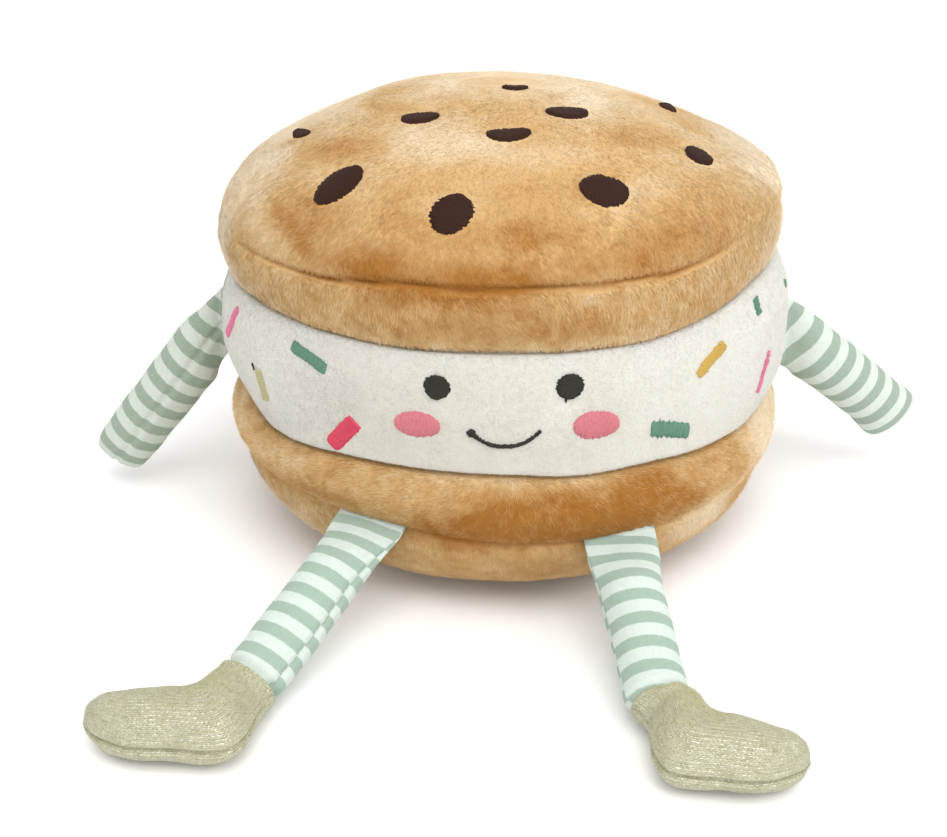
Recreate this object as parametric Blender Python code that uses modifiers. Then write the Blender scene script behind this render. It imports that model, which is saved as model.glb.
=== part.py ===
"""A soft toy in the shape of a cookie ice cream sandwich, sitting with its legs stretched out in front.

Metres, +Z up. The origin is on the floor, on the middle line of the round body. The toy faces -Y, and
+X is to the right of a viewer who looks it in the face. Every piece is a stuffed fabric piece, modelled
as one closed solid, and pieces that are sewn together keep a gap of SEAM_GAP between their faces.
"""

import math

import bmesh
import bpy
from mathutils import Vector

# The body: heights of its seams above the floor, and their radii.
BODY_HEIGHT = 0.1525
RIM_SEAM_HEIGHT = 0.1135
RIM_SEAM_RADIUS = 0.0950
CREAM_TOP_HEIGHT = 0.0950
CREAM_TOP_RADIUS = 0.0925
CREAM_BASE_HEIGHT = 0.0535
CREAM_BASE_RADIUS = 0.0930
LEG_SEAM_HEIGHT = 0.0310
LEG_SEAM_RADIUS = 0.0945
BASE_RADIUS = 0.0500
# How far each gusset, and the cream between them, bulges past the line between its two seams.
TOP_GUSSET_BULGE = 0.0030
CREAM_BULGE = 0.0022
LOWER_GUSSET_BULGE = 0.0050
# A sewn seam pulls the plush in by this much, over this width.
SEAM_DEPTH = 0.0016
SEAM_GAP = 0.0003
# The dome leans this far towards +X halfway up, and the lower cookie is squashed: it sits this far
# towards +X, with its seam this much higher at -X and as much lower at +X.
DOME_LEAN = 0.0018
SQUASH_SHIFT = 0.0022
SQUASH_RISE = 0.0038
# The arms tug the sides out round their roots, and the cream dips in below the one at -X. Each row is a
# height, and how far outwards a point there moves.
LEFT_TUG = ((0.0310, 0), (0.0450, -0.0005), (0.0535, -0.0030), (0.0620, 0.0010), (0.0700, 0.0032),
            (0.0850, 0.0032), (0.0950, 0.0005), (0.1040, 0))
RIGHT_TUG = ((0.0200, 0), (0.0310, 0.0010), (0.0440, 0.0034), (0.0535, 0.0046), (0.0620, 0.0065),
             (0.0850, 0.0065), (0.0950, 0.0020), (0.1040, 0))
# At +X the cream swells, and pushes the seams round it apart. Each row is a height, and how far up a
# point there moves.
RIGHT_SWELL = ((0.0310, 0), (0.0535, -0.0035), (0.0740, 0), (0.0950, 0.0082), (0.1135, 0.0050), (0.1380, 0))
# The dome and the underside are superellipses. An ellipse's power is 2, and a lower one is flatter.
DOME_POWER = 1.90
BASE_POWER = 1.86

BODY_SIDES = 64
LIMB_SIDES = 16

# The arms: sewn upright into the sides of the cream, and hanging outwards and down.
ARM_SEAM_WIDTH = 0.0260
ARM_WIDTH = 0.0212
ARM_THICKNESS = 0.0185
LEFT_HAND_WIDTH = 0.0206
RIGHT_HAND_WIDTH = 0.0226
# How much of a hand's width is lost to the rounding of its corners.
HAND_ROUNDING = 0.32
ARM_RISE = 0.0020
LEFT_ARM_ROOT = Vector((-0.0994, -0.0040, 0.0672))
RIGHT_ARM_ROOT = Vector((0.1030, -0.0060, 0.0655))
LEFT_HAND = Vector((-0.1440, 0.0000, 0.0119))
RIGHT_HAND = Vector((0.1536, 0.0130, 0.0221))

# The legs: sewn flat into the lower seam, at these angles from straight ahead, and lying on the floor.
LEG_SEAM_WIDTH = 0.0245
LEG_WIDTH = 0.0196
LEG_THICKNESS = 0.0186
ANKLE_WIDTH = 0.0182
LEFT_LEG_TURN = math.radians(-27.5)
RIGHT_LEG_TURN = math.radians(21.5)
LEFT_ANKLE = Vector((-0.0728, -0.1322, 0.0098))
RIGHT_ANKLE = Vector((0.0432, -0.1420, 0.0098))
LEG_SAG = 0.0020
SEWN_THICKNESS = 0.0026

# The boots lie on their sides with the toes turned outwards. Their stations run from the ankle round the
# heel to the toe: a point of the back and sole, and the point of the front and instep across from it.
# Each is a share of the foot's length along the sole, and a height above the sole. Last comes how much
# of the thickness is filled there. The heel's place is measured along and across the sole from the ankle.
BOOT_STATIONS = (
    ((-0.06, 0.0195), (0.41, 0.0285), 1.00),
    ((0.00, 0.0120), (0.45, 0.0245), 1.00),
    ((0.06, 0.0050), (0.48, 0.0228), 1.00),
    ((0.16, -0.0012), (0.54, 0.0216), 1.00),
    ((0.45, -0.0006), (0.63, 0.0210), 0.99),
    ((0.74, -0.0002), (0.81, 0.0182), 0.93),
    ((0.93, 0.0025), (0.95, 0.0140), 0.78),
    ((1.00, 0.0058), (1.00, 0.0105), 0.44),
)
BOOT_THICKNESS = 0.0192
BOOT_ANKLE_WIDTH = 0.0186
LEFT_HEEL_PLACE = (-0.0080, -0.0302)
RIGHT_HEEL_PLACE = (-0.0050, -0.0296)
LEFT_FOOT_LENGTH = 0.0500
RIGHT_FOOT_LENGTH = 0.0440
LEFT_SOLE_HEADING = math.radians(174)
RIGHT_SOLE_HEADING = math.radians(-5)
# The pieces that lie on the floor keep this far above it.
FLOOR_GAP = 0.0002

COOKIE = (0.62, 0.38, 0.17)
CREAM = (0.86, 0.85, 0.82)
STRIPE = (0.52, 0.65, 0.57)
GOLD = (0.50, 0.46, 0.30)


def clear_scene():
    """Empties the scene, and returns the collection that holds the toy."""
    for obj in list(bpy.data.objects):
        bpy.data.objects.remove(obj)
    toy = bpy.data.collections.new("cookie_sandwich_toy")
    bpy.context.scene.collection.children.link(toy)
    return toy


def cloth_material(name, colour, roughness, metallic=0.0):
    """A plain fabric material of one colour."""
    material = bpy.data.materials.new(name)
    material.use_nodes = True
    shader = material.node_tree.nodes["Principled BSDF"]
    shader.inputs["Base Color"].default_value = (*colour, 1)
    shader.inputs["Roughness"].default_value = roughness
    shader.inputs["Metallic"].default_value = metallic
    return material


def squash(point):
    """Moves a point of the lower cookie towards +X, so that its seam runs a little downhill there."""
    x, y, z = point
    low = max(0.0, min(1.0, z / LEG_SEAM_HEIGHT))
    high = max(0.0, min(1.0, (CREAM_BASE_HEIGHT - z) / (CREAM_BASE_HEIGHT - LEG_SEAM_HEIGHT)))
    rise = SQUASH_RISE * -x / RIM_SEAM_RADIUS * min(low, high)
    return Vector((x + SQUASH_SHIFT * smooth(high), y, z + rise))


def lean(point):
    """Moves a point of the dome towards +X, most halfway up, so that its -X shoulder slopes more."""
    x, y, z = point
    up = max(0.0, (z - RIM_SEAM_HEIGHT) / (BODY_HEIGHT - RIM_SEAM_HEIGHT))
    return Vector((x + DOME_LEAN * math.sin(math.pi * up), y, z))


def tugged(point):
    """Moves a point of the body as the arms tug at its sides, and as the cream swells at +X."""
    x, y, z = point
    radius = math.hypot(x, y)
    if radius < SEAM_GAP:
        return Vector(point)
    side = x / radius
    near_rim = min(1.0, radius / CREAM_TOP_RADIUS) ** 3
    tug = at_height(RIGHT_TUG if side > 0 else LEFT_TUG, z) * smooth((abs(side) - 0.62) / 0.36)
    rise = at_height(RIGHT_SWELL, z) * smooth((side - 0.40) / 0.50)
    outwards = Vector((x, y, 0)) * (tug * near_rim / radius)
    return Vector(point) + outwards + Vector((0, 0, rise * near_rim))


def at_height(rows, height):
    """Reads a table of (height, value) rows between its rows. It is 0 above and below them."""
    for (low, low_value), (high, high_value) in zip(rows, rows[1:]):
        if low < height <= high:
            return low_value + (high_value - low_value) * (height - low) / (high - low)
    return 0.0


def bulged(start, end, bulge, steps):
    """Points from start to end, (radius, height) each, bowed outwards by bulge in the middle."""
    points = []
    for i in range(steps + 1):
        t = i / steps
        radius = start[0] + (end[0] - start[0]) * t + bulge * math.sin(math.pi * t)
        points.append((radius, start[1] + (end[1] - start[1]) * t))
    return points


def dome(radius, height, rise, power, steps, flat=0.0):
    """A superellipse quarter from its pole to its rim, (radius, height) each.

    The pole is at height + rise. flat is the radius of a level disc at the pole.
    """
    points = []
    for i in range(steps + 1):
        angle = math.pi / 2 * i / steps
        out = math.sin(angle) ** (2 / power)
        up = math.cos(angle) ** (2 / power)
        points.append((flat + (radius - flat) * out, height + rise * up))
    return points


def turned(name, profile, material, collection, moved=None):
    """A solid turned about Z from a profile that runs down its outer side, from axis to axis."""
    mesh = bpy.data.meshes.new(name)
    edges = [(i, i + 1) for i in range(len(profile) - 1)]
    mesh.from_pydata([(radius, 0, height) for radius, height in profile], edges, [])
    guide = bpy.data.objects.new(name + "_profile", mesh)
    collection.objects.link(guide)
    screw = guide.modifiers.new("turn", "SCREW")
    screw.steps = screw.render_steps = BODY_SIDES
    screw.use_merge_vertices = True
    screw.merge_threshold = 0.0001
    screw.use_smooth_shade = True
    graph = bpy.context.evaluated_depsgraph_get()
    solid = bpy.data.objects.new(name, bpy.data.meshes.new_from_object(guide.evaluated_get(graph)))
    bpy.data.objects.remove(guide)
    if moved:
        for vertex in solid.data.vertices:
            vertex.co = moved(vertex.co)
    solid.data.name = name
    finish(solid, material, collection)
    return solid


def finish(obj, material, collection):
    """Gives an object its material, smooth shading with sharp creases, and its collection."""
    obj.data.materials.clear()
    obj.data.materials.append(material)
    obj.data.shade_smooth()
    obj.data.set_sharp_from_angle(angle=math.radians(50))
    collection.objects.link(obj)


def loft(name, rings, material, collection, smoothed=False):
    """A closed solid through rings of equally many points, with a fan over each end.

    smoothed adds a subdivision that rounds it everywhere but at its first end, which stays flat.
    """
    mesh = bpy.data.meshes.new(name)
    build = bmesh.new()
    loops = [[build.verts.new(point) for point in ring] for ring in rings]
    for near, far in zip(loops, loops[1:]):
        for i in range(len(near)):
            j = (i + 1) % len(near)
            build.faces.new((near[i], near[j], far[j], far[i]))
    for loop in (loops[0], loops[-1]):
        middle = build.verts.new(sum((vert.co for vert in loop), Vector()) / len(loop))
        for i in range(len(loop)):
            build.faces.new((loop[i], loop[(i + 1) % len(loop)], middle))
    if smoothed:
        crease = build.edges.layers.float.new("crease_edge")
        for i in range(len(loops[0])):
            build.edges.get((loops[0][i], loops[0][i - 1]))[crease] = 1.0
    bmesh.ops.recalc_face_normals(build, faces=build.faces)
    build.to_mesh(mesh)
    build.free()
    solid = bpy.data.objects.new(name, mesh)
    finish(solid, material, collection)
    if smoothed:
        rounding = solid.modifiers.new("rounding", "SUBSURF")
        rounding.levels = rounding.render_levels = 1
    return solid


def section(centre, across, through, width, thickness):
    """A ring of LIMB_SIDES points: an ellipse width across and thickness through."""
    ring = []
    for i in range(LIMB_SIDES):
        angle = 2 * math.pi * i / LIMB_SIDES
        sideways = across * (math.cos(angle) * width / 2)
        ring.append(centre + sideways + through * (math.sin(angle) * thickness / 2))
    return ring


def bezier(start, bend, end, t):
    """The point, and the unit direction, at t on a curve with one control point."""
    point = start * (1 - t) ** 2 + bend * (2 * t * (1 - t)) + end * t ** 2
    direction = (bend - start) * (1 - t) + (end - bend) * t
    return point, direction.normalized()


def smooth(t):
    """A step from 0 to 1 that starts and ends level."""
    t = max(0.0, min(1.0, t))
    return t * t * (3 - 2 * t)


def body(collection, cookie, cream):
    """The two cookies and the ice cream between them, each turned about the middle line."""
    dome_rise = BODY_HEIGHT - RIM_SEAM_HEIGHT
    rim = (RIM_SEAM_RADIUS - SEAM_DEPTH, RIM_SEAM_HEIGHT)
    cream_top = (CREAM_TOP_RADIUS, CREAM_TOP_HEIGHT + SEAM_GAP / 2)
    top = dome(RIM_SEAM_RADIUS, RIM_SEAM_HEIGHT + SEAM_DEPTH, dome_rise - SEAM_DEPTH, DOME_POWER, 11)
    top += bulged(rim, cream_top, TOP_GUSSET_BULGE, 5)
    top.append((0, cream_top[1]))
    turned("cookie_top", top, cookie, collection, lambda point: tugged(lean(point)))

    band = [(0, CREAM_TOP_HEIGHT - SEAM_GAP / 2)]
    band += bulged(
        (CREAM_TOP_RADIUS, CREAM_TOP_HEIGHT - SEAM_GAP / 2),
        (CREAM_BASE_RADIUS, CREAM_BASE_HEIGHT + SEAM_GAP / 2),
        CREAM_BULGE,
        6,
    )
    band.append((0, CREAM_BASE_HEIGHT + SEAM_GAP / 2))
    turned("ice_cream", band, cream, collection, tugged)

    leg_seam = (LEG_SEAM_RADIUS - SEAM_DEPTH, LEG_SEAM_HEIGHT)
    cream_base = (CREAM_BASE_RADIUS, CREAM_BASE_HEIGHT - SEAM_GAP / 2)
    low = [(0, cream_base[1])]
    low += bulged(cream_base, leg_seam, LOWER_GUSSET_BULGE, 6)
    drop = LEG_SEAM_HEIGHT - SEAM_DEPTH
    low += reversed(dome(LEG_SEAM_RADIUS, drop, -drop, BASE_POWER, 7, BASE_RADIUS))
    low.append((0, 0))
    turned("cookie_bottom", low, cookie, collection, lambda point: tugged(squash(point)))


def arm(name, root, end, end_width, collection, material):
    """One arm: a stuffed tube that is flat at the cream's side and closed flat at its end."""
    bend = root.lerp(end, 0.45) + Vector((0, 0, ARM_RISE))
    rings = []
    for t in (0, 0.06, 0.16, 0.3, 0.45, 0.6, 0.75, 0.88, 0.94, 0.975, 0.993, 1):
        point, along = bezier(root, bend, end, t)
        square = along.cross(Vector((0, 1, 0))).normalized()
        if square.z > 0:
            square = -square
        across = Vector((0, 0, -1)).lerp(square, smooth(t / 0.4)).normalized()
        filled = smooth(t / 0.32) ** 0.6
        closed = math.sqrt(max(0.0, 1 - ((t - 0.80) / 0.20) ** 2)) if t > 0.80 else 1.0
        width = ARM_SEAM_WIDTH + (ARM_WIDTH - ARM_SEAM_WIDTH) * smooth(t / 0.35)
        width += (end_width - ARM_WIDTH) * smooth((t - 0.75) / 0.25)
        rounded = 1 - math.sqrt(max(0.0, 1 - ((t - 0.88) / 0.12) ** 2)) if t > 0.88 else 0.0
        width *= 1 - HAND_ROUNDING * rounded
        thickness = SEWN_THICKNESS + (ARM_THICKNESS - SEWN_THICKNESS) * filled * closed
        through = across.cross(along).normalized()
        rings.append(section(point, across, through, width, thickness))
    return loft(name, rings, material, collection)


def leg_path(turn, ankle):
    """The start, bend and end of a leg's curve, from the lower seam down to the ankle on the floor."""
    radius = LEG_SEAM_RADIUS + 2 * SEAM_GAP
    root = squash(Vector((math.sin(turn) * radius, -math.cos(turn) * radius, LEG_SEAM_HEIGHT)))
    bend = root.lerp(ankle, 0.6) - Vector((0, 0, LEG_SAG))
    return root, bend, ankle


def leg(name, turn, ankle, collection, material):
    """One leg: flat where it is sewn into the lower seam, and round below.

    It returns the leg's last point and direction, where the boot goes on.
    """
    path = leg_path(turn, ankle)
    sewn = Vector((math.cos(turn), math.sin(turn), 0))
    rings = []
    for t in (0, 0.05, 0.12, 0.22, 0.35, 0.5, 0.65, 0.8, 0.92, 1):
        point, along = bezier(*path, t)
        square = along.cross(Vector((0, 0, 1))).normalized()
        if square.dot(sewn) < 0:
            square = -square
        across = sewn.lerp(square, smooth(t / 0.3)).normalized()
        filled = smooth(t / 0.35) ** 0.6
        width = LEG_SEAM_WIDTH + (LEG_WIDTH - LEG_SEAM_WIDTH) * smooth(t / 0.3)
        width += (ANKLE_WIDTH - LEG_WIDTH) * t
        thickness = SEWN_THICKNESS + (LEG_THICKNESS - SEWN_THICKNESS) * filled
        through = across.cross(along).normalized()
        rings.append(section(point, across, through, width, thickness))
    loft(name, rings, material, collection)
    return bezier(*path, 1)


def boot(name, side, leg_end, heading, heel_place, length, collection, material):
    """One boot: a stuffed sock shape of two panels, lying on its side on the floor.

    leg_end is the leg's last point and direction, heading is the direction in which the sole runs from
    the heel to the toe, and side is -1 for the boot whose toe points to -X.
    """
    ankle, down = leg_end
    toeward = Vector((math.cos(heading), math.sin(heading), 0))
    legward = Vector((-toeward.y, toeward.x, 0)) * side
    heel = ankle + toeward * heel_place[0] + legward * heel_place[1]
    up = Vector((0, 0, 1))
    forward = up.cross(down).normalized() * side
    cuff_up = down.cross(forward) * side
    rings = [section(ankle + down * SEAM_GAP, forward, cuff_up, BOOT_ANKLE_WIDTH, BOOT_ANKLE_WIDTH)]
    for back, front, fill in BOOT_STATIONS:
        outer = heel + toeward * (back[0] * length) + legward * back[1]
        inner = heel + toeward * (front[0] * length) + legward * front[1]
        thickness = BOOT_THICKNESS * fill
        centre = (outer + inner) / 2
        centre.z = BOOT_THICKNESS / 2 + FLOOR_GAP
        across = inner - outer
        rings.append(section(centre, across.normalized(), up, across.length, thickness))
    return loft(name, rings, material, collection, smoothed=True)


def main():
    """Builds the toy, one object for each stuffed piece."""
    toy = clear_scene()
    cookie = cloth_material("cookie_plush", COOKIE, 0.9)
    cream = cloth_material("cream_plush", CREAM, 0.9)
    stripe = cloth_material("striped_jersey", STRIPE, 0.8)
    gold = cloth_material("gold_knit", GOLD, 0.5, 0.4)
    body(toy, cookie, cream)
    arm("arm_left", LEFT_ARM_ROOT, LEFT_HAND, LEFT_HAND_WIDTH, toy, stripe)
    arm("arm_right", RIGHT_ARM_ROOT, RIGHT_HAND, RIGHT_HAND_WIDTH, toy, stripe)
    left = leg("leg_left", LEFT_LEG_TURN, LEFT_ANKLE, toy, stripe)
    right = leg("leg_right", RIGHT_LEG_TURN, RIGHT_ANKLE, toy, stripe)
    boot("boot_left", -1, left, LEFT_SOLE_HEADING, LEFT_HEEL_PLACE, LEFT_FOOT_LENGTH, toy, gold)
    boot("boot_right", 1, right, RIGHT_SOLE_HEADING, RIGHT_HEEL_PLACE, RIGHT_FOOT_LENGTH, toy, gold)


main()
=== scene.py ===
"""Looks of a plush cookie ice cream sandwich with striped arms and legs and knitted boots.

Metres, +Z up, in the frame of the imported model: the toy sits on the floor, faces -Y, and +X is to the
right of a viewer who looks it in the face. An azimuth is measured round the body from the face, in
degrees, and grows towards +X.
"""

import logging
import math
from collections.abc import Callable, Sequence
from dataclasses import dataclass, field, replace
from enum import Enum

import bpy
import numpy as np
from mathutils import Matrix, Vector

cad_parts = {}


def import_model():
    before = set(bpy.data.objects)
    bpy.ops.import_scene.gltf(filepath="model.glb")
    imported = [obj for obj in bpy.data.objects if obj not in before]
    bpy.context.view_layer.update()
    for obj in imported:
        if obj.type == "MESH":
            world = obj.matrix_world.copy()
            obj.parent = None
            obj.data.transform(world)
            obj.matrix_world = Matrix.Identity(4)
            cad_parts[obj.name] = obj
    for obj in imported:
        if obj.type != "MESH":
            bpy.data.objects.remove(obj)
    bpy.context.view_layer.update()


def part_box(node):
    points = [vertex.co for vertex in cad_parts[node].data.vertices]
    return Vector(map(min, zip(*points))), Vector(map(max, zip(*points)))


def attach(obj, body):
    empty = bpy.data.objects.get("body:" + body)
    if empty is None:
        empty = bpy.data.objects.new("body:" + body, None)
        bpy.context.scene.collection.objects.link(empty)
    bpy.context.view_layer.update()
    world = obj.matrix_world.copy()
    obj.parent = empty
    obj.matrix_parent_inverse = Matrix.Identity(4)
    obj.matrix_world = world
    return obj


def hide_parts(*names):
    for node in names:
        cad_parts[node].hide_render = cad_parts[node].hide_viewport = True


LOG = logging.getLogger("plush_sandwich")
MM = 0.001
BODY = "root"
DOWNWARD = np.array([0.0, 0.0, -1.0])
UPWARD = np.array([0.0, 0.0, 1.0])
Array = np.ndarray
Material, Piece = bpy.types.Material, bpy.types.Object
Node, NodeTree, Socket = bpy.types.Node, bpy.types.NodeTree, bpy.types.NodeSocket
Colour = tuple[float, float, float]


# Small mathematics

def unit(vectors: Array) -> Array:
    """Returns the vectors at length 1. A vector of no length stays as it is."""
    length = np.linalg.norm(vectors, axis=-1, keepdims=True)
    return vectors / np.where(length > 0, length, 1)


def eased(t: Array | float) -> Array:
    """Returns a step from 0 to 1 over t from 0 to 1 that starts and ends level."""
    t = np.clip(t, 0.0, 1.0)
    return t * t * (3 - 2 * t)


def bump(distance: Array, width: float) -> Array:
    """Returns a smooth hump of height 1 at distance 0 that has faded out after about 2 widths."""
    return np.exp(-((distance / width) ** 2))


def dyed(red: int, green: int, blue: int) -> Colour:
    """Returns a dye's linear colour from its everyday 0 to 255 values."""
    def linear(value: int) -> float:
        """Returns one part of the colour."""
        share = value / 255
        return share / 12.92 if share <= 0.04045 else ((share + 0.055) / 1.055) ** 2.4
    return linear(red), linear(green), linear(blue)


class Noise:
    """Smooth seeded noise in space, from -1 to 1."""

    CELLS = 24

    def __init__(self, seed: int) -> None:
        """Fills the lattice that the noise runs through.

        Args:
            seed: chooses the pattern. The same seed always gives the same one.
        """
        self.lattice = np.random.default_rng(seed).uniform(-1, 1, (self.CELLS,) * 3)

    def at(self, points: Array, scale: float) -> Array:
        """Reads the noise.

        Args:
            points: places in space, in metres, with x, y and z last.
            scale: the distance between neighbouring lattice values, in metres.

        Returns:
            One value for each point.
        """
        spots = points / scale
        low = np.floor(spots).astype(int)
        blend = eased(spots - low)
        total = np.zeros(points.shape[:-1])
        for corner in np.ndindex(2, 2, 2):
            cell = (low + corner) % self.CELLS
            weight = np.prod(np.where(np.array(corner) == 1, blend, 1 - blend), axis=-1)
            total += weight * self.lattice[cell[..., 0], cell[..., 1], cell[..., 2]]
        return total


def resampled(path: Array, count: int) -> Array:
    """Returns count points spaced evenly along a path of points."""
    steps = np.linalg.norm(np.diff(path, axis=0), axis=1)
    along = np.concatenate([[0], np.cumsum(steps)])
    wanted = np.linspace(0, along[-1], count)
    return np.stack([np.interp(wanted, along, path[:, k]) for k in range(path.shape[1])], axis=1)


# Meshes

def mesh_piece(name: str, points: Array, faces: Sequence[Array], finish: Material) -> Piece:
    """Makes a smooth-shaded mesh object.

    Args:
        name: the piece's name.
        points: its corners, one row each.
        faces: arrays of faces, each with as many columns as its faces have corners.
        finish: the material.

    Returns:
        The object, linked to the scene.
    """
    mesh = bpy.data.meshes.new(name)
    corners = np.concatenate([block.ravel() for block in faces]).astype(np.int32)
    sizes = np.concatenate([np.full(len(block), block.shape[1]) for block in faces])
    starts = np.concatenate([[0], np.cumsum(sizes)[:-1]]).astype(np.int32)
    mesh.vertices.add(len(points))
    mesh.vertices.foreach_set("co", points.astype(np.float32).ravel())
    mesh.loops.add(len(corners))
    mesh.loops.foreach_set("vertex_index", corners)
    mesh.polygons.add(len(starts))
    mesh.polygons.foreach_set("loop_start", starts)
    mesh.update(calc_edges=True)
    mesh.validate()
    mesh.shade_smooth()
    mesh.materials.append(finish)
    piece = bpy.data.objects.new(name, mesh)
    bpy.context.scene.collection.objects.link(piece)
    return piece


def set_attribute(piece: Piece, name: str, values: Array) -> None:
    """Stores one number for each corner point of a piece, for its material to read."""
    layer = piece.data.attributes.new(name, "FLOAT", "POINT")
    layer.data.foreach_set("value", values.astype(np.float32).ravel())


def fitted(piece: Piece, nodes: Sequence[str]) -> None:
    """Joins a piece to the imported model.

    Args:
        piece: the piece.
        nodes: the CAD nodes that it stands for, if any.
    """
    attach(piece, BODY)
    if nodes:
        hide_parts(*nodes)
    LOG.info("%s: %d faces", piece.name, len(piece.data.polygons))


def grid_faces(rows: int, columns: int, wraps: bool, flipped: bool = False) -> Array:
    """Returns the quads of a grid of points that are stored row by row.

    Args:
        rows: how many rows there are.
        columns: how many points a row has.
        wraps: whether each row's last point joins its first.
        flipped: turns the faces to look the other way.
    """
    span = columns if wraps else columns - 1
    row, column = (axis.ravel() for axis in np.meshgrid(np.arange(rows - 1), np.arange(span), indexing="ij"))
    after = (column + 1) % columns
    here, below = row * columns, (row + 1) * columns
    quads = [here + column, below + column, below + after, here + after]
    return np.stack(quads[::-1] if flipped else quads, axis=1)


class Cloth:
    """A piece of cloth as a dense grid of points whose columns run all the way round.

    Rows run along the piece, columns round it, and the outside is where the normals point.
    """

    def __init__(self, points: Array, outward: Array) -> None:
        """Keeps the grid.

        Args:
            points: rows by columns by 3.
            outward: for each row, a point inside the piece that its normals point away from.
        """
        self.points = points
        self.rows, self.columns = points.shape[:2]
        self.inside = outward
        self.turns = self._normals_face_in()

    def _raw_normals(self) -> Array:
        """Returns unit normals by differences between neighbours, on whichever side they fall."""
        down = np.gradient(self.points, axis=0)
        across = np.roll(self.points, -1, axis=1) - np.roll(self.points, 1, axis=1)
        return unit(np.cross(down, across))

    def _normals_face_in(self) -> bool:
        """Returns whether the differences' normals point into the piece."""
        away = self.points - self.inside[:, None, :]
        return float(np.sum(self._raw_normals() * away)) < 0

    @property
    def normals(self) -> Array:
        """The unit normals, one for each point, pointing out."""
        return -self._raw_normals() if self.turns else self._raw_normals()

    def push(self, amount: Array) -> None:
        """Moves every point along its normal by its amount, in metres."""
        self.points = self.points + self.normals * amount[..., None]

    def read(self, values: Array, row: Array, column: Array) -> Array:
        """Blends a grid of values at places between its points.

        Args:
            values: rows by columns, with or without a last axis.
            row: fractional row of each place.
            column: fractional column of each place, which may run past the last one.

        Returns:
            The value at each place.
        """
        row = np.clip(row, 0, self.rows - 1.001)
        low_row, low_column = np.floor(row).astype(int), np.floor(column).astype(int)
        across, along = column - low_column, row - low_row
        if values.ndim == 3:
            across, along = across[..., None], along[..., None]
        left, right = low_column % self.columns, (low_column + 1) % self.columns
        near = values[low_row, left] * (1 - across) + values[low_row, right] * across
        far = values[low_row + 1, left] * (1 - across) + values[low_row + 1, right] * across
        return near * (1 - along) + far * along

    def piece(self, name: str, finish: Material, cloth_map: Array | None = None) -> Piece:
        """Makes the mesh object, closed at both ends with a fan to the middle of the end row.

        Args:
            name: the piece's name.
            finish: its material.
            cloth_map: rows by (columns + 1) by 2: where each point lies on the flat cloth, in metres, with
                the first column given again at the end. It becomes the UV map "cloth".

        Returns:
            The object.
        """
        last = (self.rows - 1) * self.columns
        middles = np.stack([self.points[0].mean(axis=0), self.points[-1].mean(axis=0)])
        points = np.concatenate([self.points.reshape(-1, 3), middles])
        column = np.arange(self.columns)
        after = (column + 1) % self.columns
        first_middle = np.full(self.columns, self.rows * self.columns)
        start = np.stack([column, after, first_middle], axis=1)
        end = np.stack([after + last, column + last, first_middle + 1], axis=1)
        if not self.turns:
            start, end = start[:, ::-1], end[:, ::-1]
        quads = grid_faces(self.rows, self.columns, True, flipped=self.turns)
        piece = mesh_piece(name, points, [quads, start[:, ::-1], end[:, ::-1]], finish)
        if cloth_map is not None:
            flat = cloth_map.reshape(-1, 2)
            wide = grid_faces(self.rows, self.columns + 1, False, flipped=self.turns)
            first = (start[:, ::-1] % self.columns).ravel()
            final = ((end[:, ::-1] - last) % self.columns).ravel()
            spots = [flat[wide.ravel()], cloth_map[0][first], cloth_map[-1][final]]
            layer = piece.data.uv_layers.new(name="cloth")
            layer.data.foreach_set("uv", np.concatenate(spots).astype(np.float32).ravel())
        return piece


# Shader building

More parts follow.
